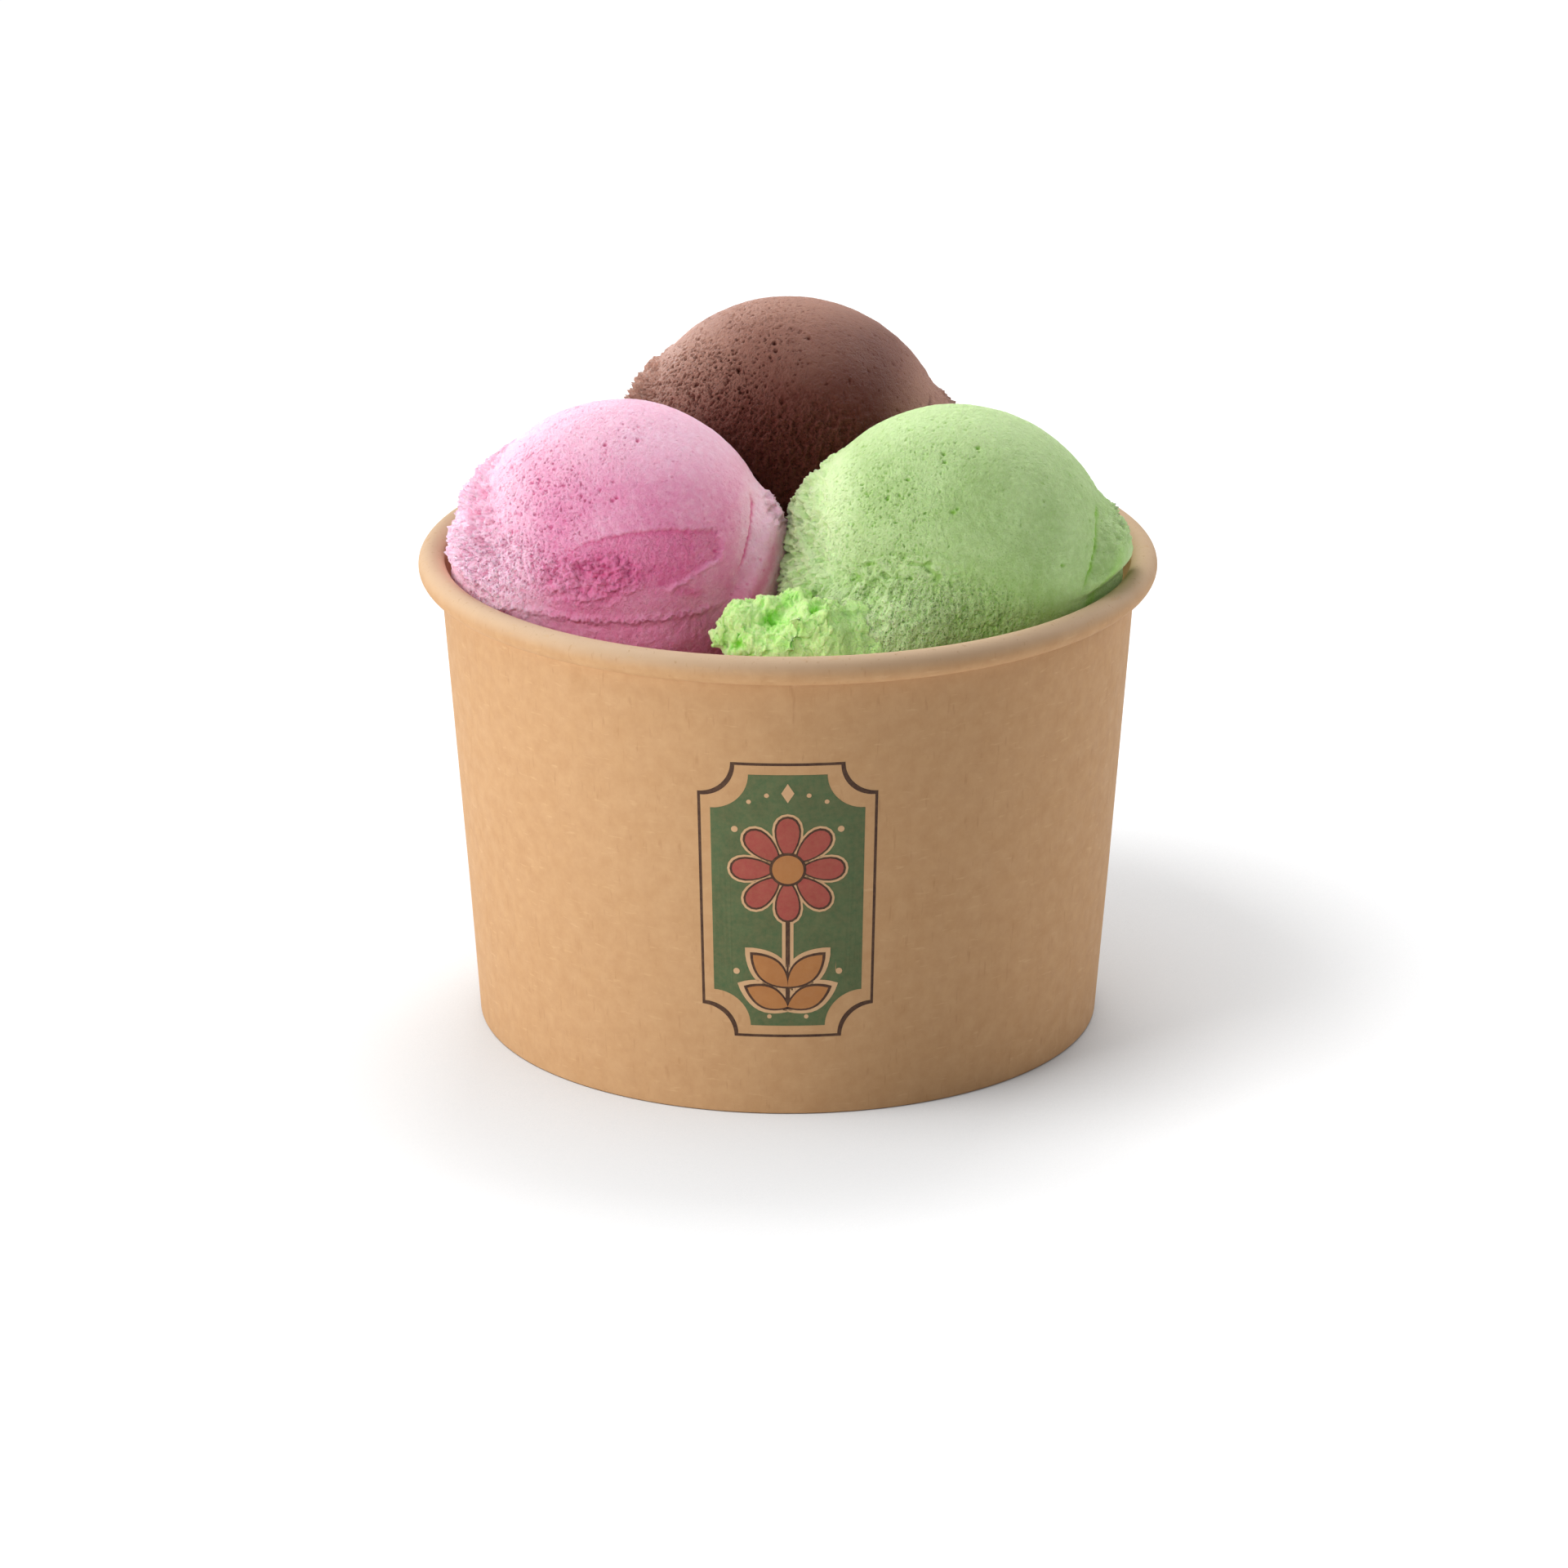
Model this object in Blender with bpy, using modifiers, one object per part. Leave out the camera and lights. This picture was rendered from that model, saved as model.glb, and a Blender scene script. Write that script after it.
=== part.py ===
"""Paper gelato cup with a scoop each of strawberry, pistachio and chocolate gelato.

Metres, +Z up. The origin is the centre of the cup's foot, on the table. The front faces -Y.

Each flavour fills its own third of the cup from the base up and ends in a scooped ball, so each is one
solid. Neighbours press flat against each other where their balls would meet.
"""

import math
from types import SimpleNamespace

import bmesh
import bpy
from mathutils import Vector, noise

GAP = 0.0003  # left between pieces that touch
TURN_STEPS = 64

# Paper cup: a conical wall with a rolled rim and a foot that is folded in around the base's skirt.
RIM_DIAMETER = 0.096
FOOT_DIAMETER = 0.0813
CUP_HEIGHT = 0.0633
PAPER = 0.0006
BEAD_RADIUS = 0.0018
WALL_TAPER = math.radians(4.3)
HEM_HEIGHT = 0.0054
BASE_HEIGHT = 0.0066
FOLD_CORNER = 0.0004

# Gelato pressed into the cup under the scoops.
BED_HEIGHT_AT_WALL = 0.0495
BED_HEIGHT_AT_CENTRE = 0.0525
BED_RIPPLE = 0.0008

# Every scoop: a smooth dome with its mouth tilted to the front, and a ragged collar under the dome.
DOME_TILT = math.radians(27)
COLLAR_START = 0.36  # sine of the collar edge's angle above the dome's own equator
COLLAR_WIDTH = 0.05
COLLAR_FLARE = 0.11  # how far the collar stands out, as a share of the dome's radius
COLLAR_RAGGEDNESS = 0.12
CREASE_AT = 0.87  # the crease on the right is the circle where x is this share of the radius
CREASE_DEPTH = 0.02
CREASE_WIDTH = 0.03
SURFACE_ROUGHNESS = 0.012
BALL_SEGMENTS = 36
BALL_RINGS = 22

SCOOPS = {
    "strawberry": SimpleNamespace(
        centre=Vector((-0.0215, -0.0095, 0.0655)), radius=0.0196, seed=3.0, colour=(0.83, 0.41, 0.57)
    ),
    "pistachio": SimpleNamespace(
        centre=Vector((0.0215, -0.0105, 0.0639)), radius=0.0207, seed=11.0, colour=(0.53, 0.69, 0.34)
    ),
    "chocolate": SimpleNamespace(
        centre=Vector((0.0001, 0.0215, 0.0686)), radius=0.0215, seed=23.0, colour=(0.24, 0.105, 0.075)
    ),
}

# Strawberry: a shallow scrape across the front of the dome.
SCRAPE_CENTRE = Vector((0.16, -0.955, 0.25)).normalized()
SCRAPE_HALF_LENGTH = 0.5
SCRAPE_HALF_HEIGHT = 0.17
SCRAPE_DEPTH = 0.035

# Pistachio: a crumbly tail that curls round the front, between its scoop and the strawberry's.
TAIL_LUMPS = 8
TAIL_START = Vector((0.0095, -0.0315, 0.0585))
TAIL_MIDDLE = Vector((-0.0010, -0.0365, 0.0640))
TAIL_END = Vector((-0.0057, -0.0376, 0.0608))
TAIL_START_RADIUS = 0.0074
TAIL_END_RADIUS = 0.0038
TAIL_WOBBLE = 0.0011
TAIL_WOBBLE_TURN = math.radians(137)
TAIL_ROUGHNESS = 0.0009

KRAFT = (0.68, 0.42, 0.24)
PAPER_ROUGHNESS = 0.8
GELATO_ROUGHNESS = 0.55

REACH = 0.2  # cutters are this long, well past the whole cup

DOME_AXIS = Vector((0, -math.sin(DOME_TILT), math.cos(DOME_TILT)))
RIM_RADIUS = RIM_DIAMETER / 2
FOOT_RADIUS = FOOT_DIAMETER / 2
BEAD_CENTRE_R = RIM_RADIUS - BEAD_RADIUS
BEAD_CENTRE_Z = CUP_HEIGHT - BEAD_RADIUS
SKIRT_CHANNEL = PAPER + 2 * GAP


def smooth_step(value):
    value = min(max(value, 0.0), 1.0)
    return value * value * (3 - 2 * value)


def clear_scene():
    for obj in list(bpy.data.objects):
        bpy.data.objects.remove(obj, do_unlink=True)


def new_collection(name):
    collection = bpy.data.collections.new(name)
    bpy.context.scene.collection.children.link(collection)
    return collection


def make_material(name, colour, roughness):
    material = bpy.data.materials.new(name)
    material.use_nodes = True
    shader = material.node_tree.nodes["Principled BSDF"]
    shader.inputs["Base Color"].default_value = (*colour, 1)
    shader.inputs["Roughness"].default_value = roughness
    shader.inputs["Metallic"].default_value = 0
    return material


def new_object(name, mesh, collection, material=None):
    obj = bpy.data.objects.new(name, mesh)
    collection.objects.link(obj)
    if material:
        mesh.materials.append(material)
    return obj


def hide_helper(obj):
    obj.hide_render = True
    obj.display_type = "WIRE"


def turned(name, profile, collection, material=None, closed=True):
    """A profile of (radius, height) points turned about Z. It runs down its outer side."""
    bm = bmesh.new()
    points = [bm.verts.new((r, 0, z)) for r, z in profile]
    for start, end in zip(points, points[1:]):
        bm.edges.new((start, end))
    if closed:
        bm.edges.new((points[-1], points[0]))
    mesh = bpy.data.meshes.new(name)
    bm.to_mesh(mesh)
    bm.free()
    obj = new_object(name, mesh, collection, material)
    screw = obj.modifiers.new("Turn", "SCREW")
    screw.steps = TURN_STEPS
    screw.render_steps = TURN_STEPS
    screw.use_merge_vertices = True
    screw.merge_threshold = 0.00001
    screw.use_smooth_shade = True
    return obj


def settled(obj):
    """Applies the object's modifiers, and returns it."""
    graph = bpy.context.evaluated_depsgraph_get()
    mesh = bpy.data.meshes.new_from_object(obj.evaluated_get(graph))
    obj.modifiers.clear()
    obj.data = mesh
    return obj


def combine(obj, other, operation):
    boolean = obj.modifiers.new(operation.title(), "BOOLEAN")
    boolean.operation = operation
    boolean.object = other
    boolean.solver = "EXACT"


# Paper cup


def wall_radius(z):
    """Outer radius of the conical wall at a height."""
    return FOOT_RADIUS + z * math.tan(WALL_TAPER)


def bead_point(angle, clearance=0.0):
    radius = BEAD_RADIUS + clearance
    return BEAD_CENTRE_R + radius * math.cos(angle), BEAD_CENTRE_Z + radius * math.sin(angle)


def bead_arc(start_degrees, end_degrees, count, clearance=0.0):
    step = (end_degrees - start_degrees) / (count - 1)
    return [bead_point(math.radians(start_degrees + step * i), clearance) for i in range(count)]


def make_cup_wall(collection, material):
    """The wall: one sheet that rolls outwards at the rim and turns up inside the foot."""
    hem_outer = PAPER + SKIRT_CHANNEL
    hem_inner = hem_outer + PAPER
    profile = bead_arc(152, -125, 12)
    profile += [
        (wall_radius(FOLD_CORNER), FOLD_CORNER),
        (wall_radius(0) - FOLD_CORNER, 0),
        (wall_radius(0) - hem_inner + FOLD_CORNER, 0),
        (wall_radius(FOLD_CORNER) - hem_inner, FOLD_CORNER),
        (wall_radius(HEM_HEIGHT) - hem_inner, HEM_HEIGHT),
        (wall_radius(HEM_HEIGHT) - hem_outer, HEM_HEIGHT),
        (wall_radius(PAPER) - hem_outer, PAPER),
        (wall_radius(PAPER) - PAPER, PAPER),
    ]
    return turned("cup_wall", profile, collection, material)


def make_cup_base(collection, material):
    """The base: a raised disc whose skirt stands in the fold of the foot."""
    skirt_bottom = PAPER + GAP
    inset = PAPER + GAP

    def edge(z, inwards=0.0):
        return wall_radius(z) - inset - inwards, z

    profile = [
        (0, BASE_HEIGHT),
        edge(BASE_HEIGHT, PAPER),
        edge(BASE_HEIGHT - PAPER / 2),
        edge(skirt_bottom),
        edge(skirt_bottom, PAPER),
        edge(BASE_HEIGHT - PAPER, PAPER),
        (0, BASE_HEIGHT - PAPER),
    ]
    return turned("cup_base", profile, collection, material, closed=False)


# Space inside the cup


def inner_radius(z):
    return wall_radius(z) - PAPER - GAP


def make_inside(collection):
    """Everything that gelato may fill: the inside of the cup, round the rim's bead, and the air above."""
    floor = BASE_HEIGHT + GAP
    top = CUP_HEIGHT + GAP
    profile = [(0, REACH), (REACH, REACH), (REACH, top)]
    profile += bead_arc(90, 165, 5, GAP)
    profile += [(inner_radius(floor), floor), (0, floor)]
    obj = turned("inside", profile, collection, closed=False)
    hide_helper(obj)
    return settled(obj)


def make_bed(name, collection):
    """Gelato pressed flat in the cup, with a slightly rippled top."""
    floor = BASE_HEIGHT + GAP
    wall_r = inner_radius(BED_HEIGHT_AT_WALL)
    profile = [
        (0, BED_HEIGHT_AT_CENTRE),
        (wall_r * 0.55, (BED_HEIGHT_AT_CENTRE + BED_HEIGHT_AT_WALL) / 2),
        (wall_r, BED_HEIGHT_AT_WALL),
        (inner_radius(floor), floor),
        (0, floor),
    ]
    obj = settled(turned(name, profile, collection, closed=False))
    hide_helper(obj)
    for vertex in obj.data.vertices:
        if vertex.co.z > BED_HEIGHT_AT_WALL - BED_RIPPLE:
            vertex.co.z += BED_RIPPLE * noise.noise(vertex.co / 0.012)
    return obj


def contact_plane(scoop, neighbour):
    """A point on the plane where two balls press together, and the plane's normal, towards the neighbour."""
    apart = neighbour.centre - scoop.centre
    distance = apart.length
    share = (distance**2 + scoop.radius**2 - neighbour.radius**2) / (2 * distance)
    normal = apart.normalized()
    return scoop.centre + normal * share, normal


def make_far_side(scoop, neighbour, name, collection):
    """A block that fills the neighbour's side of the contact plane, and half of the gap."""
    point, normal = contact_plane(scoop, neighbour)
    bm = bmesh.new()
    bmesh.ops.create_cube(bm, size=REACH)
    mesh = bpy.data.meshes.new(name)
    bm.to_mesh(mesh)
    bm.free()
    block = new_object(name, mesh, collection)
    block.rotation_mode = "QUATERNION"
    block.rotation_quaternion = normal.to_track_quat("Z", "Y")
    block.location = point + normal * (REACH - GAP) / 2
    hide_helper(block)
    return block


# Scoops


def scrape_depth(direction):
    """Depth of the strawberry scoop's scrape, as a share of the radius."""
    offset = direction - SCRAPE_CENTRE
    across = math.hypot(offset.x / SCRAPE_HALF_LENGTH, offset.z / SCRAPE_HALF_HEIGHT)
    return SCRAPE_DEPTH * smooth_step((1 - across) / 0.35)


def ball_radius(scoop, direction, scraped):
    """Distance from the ball's centre to its surface."""
    seed = Vector((scoop.seed, scoop.seed * 0.7, scoop.seed * 1.3))
    ragged = COLLAR_RAGGEDNESS * noise.noise(direction * 4 + seed)
    above = direction.dot(DOME_AXIS) - COLLAR_START - ragged
    flare = smooth_step(-above / COLLAR_WIDTH)
    beyond_crease = smooth_step((direction.x - CREASE_AT) / CREASE_WIDTH)
    crease = math.exp(-(((direction.x - CREASE_AT) / CREASE_WIDTH) ** 2))
    share = 1 + COLLAR_FLARE * max(flare, 0.6 * beyond_crease) - CREASE_DEPTH * crease * (1 - flare)
    share += SURFACE_ROUGHNESS * noise.noise(direction * 7 + seed)
    if scraped:
        share -= scrape_depth(direction)
    return scoop.radius * share


def make_ball(name, scoop, collection, material, scraped=False):
    bm = bmesh.new()
    bmesh.ops.create_uvsphere(bm, u_segments=BALL_SEGMENTS, v_segments=BALL_RINGS, radius=1)
    turn = Vector((0, 0, 1)).rotation_difference(DOME_AXIS)
    for vertex in bm.verts:
        direction = (turn @ vertex.co).normalized()
        vertex.co = direction * ball_radius(scoop, direction, scraped)
    mesh = bpy.data.meshes.new(name)
    bm.to_mesh(mesh)
    bm.free()
    ball = new_object(name, mesh, collection, material)
    ball.location = scoop.centre
    return ball


def tail_point(share):
    """The middle of the tail, from its start at the scoop (0) to its tip (1)."""
    first = TAIL_START.lerp(TAIL_MIDDLE, share)
    second = TAIL_MIDDLE.lerp(TAIL_END, share)
    return first.lerp(second, share)


def make_tail(name, clearance, collection):
    """Lumps along the tail, which get smaller towards its tip. They overlap."""
    lumps = []
    for i in range(TAIL_LUMPS):
        share = i / (TAIL_LUMPS - 1)
        turn = i * TAIL_WOBBLE_TURN
        radius = TAIL_START_RADIUS + share * (TAIL_END_RADIUS - TAIL_START_RADIUS)
        bm = bmesh.new()
        bmesh.ops.create_icosphere(bm, subdivisions=2, radius=1)
        for vertex in bm.verts:
            bump = TAIL_ROUGHNESS * noise.noise(vertex.co * 1.7 + Vector((i * 5.0, 0, 0)))
            vertex.co *= radius + bump + clearance
        mesh = bpy.data.meshes.new(f"{name}_{i}")
        bm.to_mesh(mesh)
        bm.free()
        lump = new_object(f"{name}_{i}", mesh, collection)
        lump.location = tail_point(share) + TAIL_WOBBLE * Vector((0, math.cos(turn), math.sin(turn)))
        hide_helper(lump)
        lumps.append(lump)
    for lump in lumps[1:]:
        combine(lumps[0], lump, "UNION")
    return settled(lumps[0])


def make_scoop(flavour, inside, parts, cutters):
    """One flavour: its ball and its third of the bed, pressed flat against its neighbours."""
    scoop = SCOOPS[flavour]
    material = make_material(flavour, scoop.colour, GELATO_ROUGHNESS)
    body = make_ball(f"scoop_{flavour}", scoop, parts, material, scraped=flavour == "strawberry")
    combine(body, make_bed(f"bed_{flavour}", cutters), "UNION")
    for other, neighbour in SCOOPS.items():
        if other != flavour:
            far_side = make_far_side(scoop, neighbour, f"{flavour}_to_{other}", cutters)
            combine(body, far_side, "DIFFERENCE")
    if flavour == "pistachio":
        combine(body, make_tail("tail", 0.0, cutters), "UNION")
    if flavour == "strawberry":
        combine(body, make_tail("tail_clearance", GAP, cutters), "DIFFERENCE")
    combine(body, inside, "INTERSECT")
    return body


def main():
    clear_scene()
    parts = new_collection("gelato_cup")
    cutters = new_collection("cutters")
    kraft = make_material("kraft_paper", KRAFT, PAPER_ROUGHNESS)
    make_cup_wall(parts, kraft)
    make_cup_base(parts, kraft)
    inside = make_inside(cutters)
    for flavour in SCOOPS:
        make_scoop(flavour, inside, parts, cutters)


main()
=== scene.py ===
"""Looks of the paper gelato cup: kraft paper with a printed plaque, and three scoops of gelato.

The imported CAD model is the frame. Places are in metres, as in the frame. Fine surface detail is worked
out in millimetres, called grain, and the features of a scoop in shares of its radius.
"""

import functools
import math
from types import SimpleNamespace

import bmesh
import bpy
import numpy as np
from mathutils import Euler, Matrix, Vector


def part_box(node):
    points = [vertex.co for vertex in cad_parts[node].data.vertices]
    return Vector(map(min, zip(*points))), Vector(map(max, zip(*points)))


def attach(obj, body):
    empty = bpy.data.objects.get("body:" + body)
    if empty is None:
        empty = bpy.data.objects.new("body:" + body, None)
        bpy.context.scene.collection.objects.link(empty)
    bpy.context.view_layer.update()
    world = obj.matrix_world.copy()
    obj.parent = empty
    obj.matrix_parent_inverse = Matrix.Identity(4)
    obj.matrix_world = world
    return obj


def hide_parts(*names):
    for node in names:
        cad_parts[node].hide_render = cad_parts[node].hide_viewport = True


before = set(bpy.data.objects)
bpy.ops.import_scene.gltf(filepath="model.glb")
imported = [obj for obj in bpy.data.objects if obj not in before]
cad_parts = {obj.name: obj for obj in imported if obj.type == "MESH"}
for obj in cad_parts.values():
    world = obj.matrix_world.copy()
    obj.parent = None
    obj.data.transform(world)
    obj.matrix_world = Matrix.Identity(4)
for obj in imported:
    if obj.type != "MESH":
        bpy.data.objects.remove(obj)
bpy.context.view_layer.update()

MM = 0.001

# Cup, as in the CAD model
RIM_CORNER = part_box("cup_wall")[1]
RIM_RADIUS = RIM_CORNER.x
CUP_HEIGHT = RIM_CORNER.z
BASE_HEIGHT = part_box("cup_base")[1].z
FOOT_RADIUS = 0.04065
PAPER = 0.0006
GAP = 0.0003
BEAD_RADIUS = 0.0018
WALL_TAPER = math.radians(4.3)
HEM_HEIGHT = 0.0054
FOLD_CORNER = 0.0004
BEAD_CENTRE_R = RIM_RADIUS - BEAD_RADIUS
BEAD_CENTRE_Z = CUP_HEIGHT - BEAD_RADIUS
SKIRT_CHANNEL = PAPER + 2 * GAP

# Gelato, as in the CAD model
BED_HEIGHT_AT_WALL = 0.0495
BED_HEIGHT_AT_CENTRE = 0.0525
DOME_TILT = math.radians(27)
SCOOPS = {
    "strawberry": SimpleNamespace(centre=Vector((-0.0215, -0.0095, 0.0655)), radius=0.0196, seed=3),
    "pistachio": SimpleNamespace(centre=Vector((0.0215, -0.0105, 0.0639)), radius=0.0207, seed=11),
    "chocolate": SimpleNamespace(centre=Vector((0.0001, 0.0215, 0.0686)), radius=0.0215, seed=23),
}

# A scoop's features are placed in its face: across (to the right), up, and out (towards the front and
# a little above), each a share of the radius.
FACE_TILT = math.radians(19.2)
ACROSS = np.array((1.0, 0.0, 0.0))
UP = np.array((0.0, math.sin(FACE_TILT), math.cos(FACE_TILT)))
OUT = np.array((0.0, -math.cos(FACE_TILT), math.sin(FACE_TILT)))
DOME_AXIS = np.array((0.0, -math.sin(DOME_TILT), math.cos(DOME_TILT)))

BALL_GRID = 122  # squares along each edge of the cube that is blown up to a ball
BALL_GRADE = 1.6  # how much finer a ball's mesh is on its fine side
FINE_SIDE = np.array((-0.24, -0.78, 0.58))
FINE_SIDE /= np.linalg.norm(FINE_SIDE)


# Numbers


def ramp(value, start, end):
    """0 at start and 1 at end, with a smooth step between them. start may be the larger one."""
    share = np.clip((value - start) / (end - start), 0, 1)
    return share * share * (3 - 2 * share)


def highest(*values):
    """The largest of some values, point by point."""
    return functools.reduce(np.maximum, values)


def ridge(value, middle, width):
    """A rounded ridge of height 1."""
    return np.exp(-(((value - middle) / width) ** 2))


def blob(across, up, middle, reach, soft=0.35):
    """1 inside an ellipse in a scoop's face, which fades out over its soft edge."""
    distance = np.hypot((across - middle[0]) / reach[0], (up - middle[1]) / reach[1])
    return ramp(distance, 1 + soft, 1 - soft)


def scrambled(cell, seed):
    """A number of 32 well mixed bits for each cell of a lattice."""
    mixed = cell[..., 0].astype(np.uint32) * np.uint32(0x9E3779B1)
    mixed ^= cell[..., 1].astype(np.uint32) * np.uint32(0x85EBCA77)
    mixed ^= cell[..., 2].astype(np.uint32) * np.uint32(0xC2B2AE3D)
    mixed ^= np.uint32((seed * 0x27D4EB2F) & 0xFFFFFFFF)
    for shift, factor in ((15, 0x2C1B3C6D), (12, 0x297A2D39)):
        mixed ^= mixed >> np.uint32(shift)
        mixed *= np.uint32(factor)
    return mixed ^ (mixed >> np.uint32(15))


def random_vectors(cell, seed):
    """Three numbers from 0 to 1 for each cell of a lattice."""
    mixed = scrambled(cell, seed)
    parts = [(mixed >> np.uint32(shift)) & np.uint32(0x3FF) for shift in (0, 10, 20)]
    return np.stack(parts, -1) / 1023.0


def smooth_noise(points, seed):
    """Gradient noise, from about -1 to 1, with features about one unit apart."""
    base = np.floor(points).astype(np.int64)
    inside = points - base
    fade = inside**3 * (inside * (inside * 6 - 15) + 10)
    total = np.zeros(len(points))
    for corner in np.ndindex(2, 2, 2):
        slope = random_vectors(base + corner, seed) * 2 - 1
        weight = np.prod(np.where(corner, fade, 1 - fade), -1)
        total += weight * np.sum(slope * (inside - corner), -1)
    return total * 1.6


def layered_noise(points, seed):
    """Three layers of gradient noise, each twice as fine and half as strong as the last."""
    return sum(smooth_noise(points * 2.03**layer, seed + layer) / 2**layer for layer in range(3))


def cell_noise(points, seed):
    """Points are scattered, one to a unit cell. Returns how far the nearest and the next one are, and
    the nearest one's own random number."""
    base = np.floor(points).astype(np.int64)
    nearest = np.full(len(points), 9.0)
    second = nearest.copy()
    value = np.zeros(len(points))
    for step in np.ndindex(3, 3, 3):
        cell = base + np.array(step) - 1
        random = random_vectors(cell, seed)
        distance = np.linalg.norm(cell + random - points, axis=-1)
        closer = distance < nearest
        second = np.where(closer, nearest, np.minimum(second, distance))
        value = np.where(closer, (random[:, 0] * 7 + random[:, 1] * 11 + random[:, 2] * 5) % 1, value)
        nearest = np.where(closer, distance, nearest)
    return nearest, second, value


# Meshes


def placed(name, data):
    """A mesh, light or camera as a new object in the scene."""
    piece = bpy.data.objects.new(name, data)
    bpy.context.scene.collection.objects.link(piece)
    return piece


def new_piece(name, points, faces, material):
    mesh = bpy.data.meshes.new(name)
    mesh.from_pydata(points, [], faces)
    mesh.materials.append(material)
    mesh.shade_smooth()
    return placed(name, mesh)


def paint(piece, **layers):
    """Stores named numbers at each vertex, for the material to read."""
    for name, values in layers.items():
        piece.data.attributes.new(name, "FLOAT", "POINT").data.foreach_set("value", values)


def cube_grid(count):
    """The surface of a cube as a grid: its points, from -1 to 1, and its faces."""
    index = {}
    points = []
    faces = []

    def point(key):
        if key not in index:
            index[key] = len(points)
            points.append(key)
        return index[key]

    for axis in range(3):
        for side in (0, count):
            for i in range(count):
                for j in range(count):
                    corners = []
                    for u, v in ((i, j), (i + 1, j), (i + 1, j + 1), (i, j + 1)):
                        key = [u, v]
                        key.insert(axis, side)
                        corners.append(point(tuple(key)))
                    turned_out = (side == count) != (axis == 1)
                    faces.append(corners if turned_out else corners[::-1])
    return np.array(points) * (2.0 / count) - 1, faces


def ball_directions(count, toward, grade):
    """Directions of a ball's vertices, and its faces. The mesh is finer by grade on one side."""
    points, faces = cube_grid(count)
    directions = np.tan(points * math.pi / 4)
    directions /= np.linalg.norm(directions, axis=1)[:, None]
    along = directions @ toward
    aside = directions - along[:, None] * toward
    aside /= np.maximum(np.linalg.norm(aside, axis=1), 1e-9)[:, None]
    angle = 2 * np.arctan(np.tan(np.arccos(np.clip(along, -1, 1)) / 2) / grade)
    return np.cos(angle)[:, None] * toward + np.sin(angle)[:, None] * aside, faces


# Gelato


def pores(grain, size, open_share, seed):
    """Round pits, at most one in each cell of that size."""
    nearest, _, value = cell_noise(grain / size, seed)
    reach = 0.22 + 0.24 * ((value * 13) % 1)
    return np.where(value < open_share, ramp(nearest, reach, reach * 0.3), 0)


def pocks(grain, size, open_share, seed):
    """Crooked pits that run into one another where a larger share is open."""
    edge = 1.0 - 0.8 * open_share
    return ramp(smooth_noise(grain * (1, 1, 0.6) / size, seed), edge, edge + 0.2)


def flakes(grain, size, seed):
    """Broken plates: a height from -1 to 1 for each, and the cracks between them."""
    bent = grain + 0.4 * size * smooth_noise(grain * 1.1 / size, seed + 3)[:, None]
    nearest, second, value = cell_noise(bent / size, seed)
    return value * 2 - 1, ramp(second - nearest, 0.14, 0.02)


def torn(grain, size, seed):
    """Torn gelato: sharp broken crests between rounded hollows, from about -1 to 1."""
    coarse = np.abs(smooth_noise(grain / size, seed))
    fine = np.abs(smooth_noise(grain * 2.3 / size, seed + 1))
    return np.clip(1 - 2.3 * coarse - 1.2 * fine, -1.2, 1)


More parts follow.
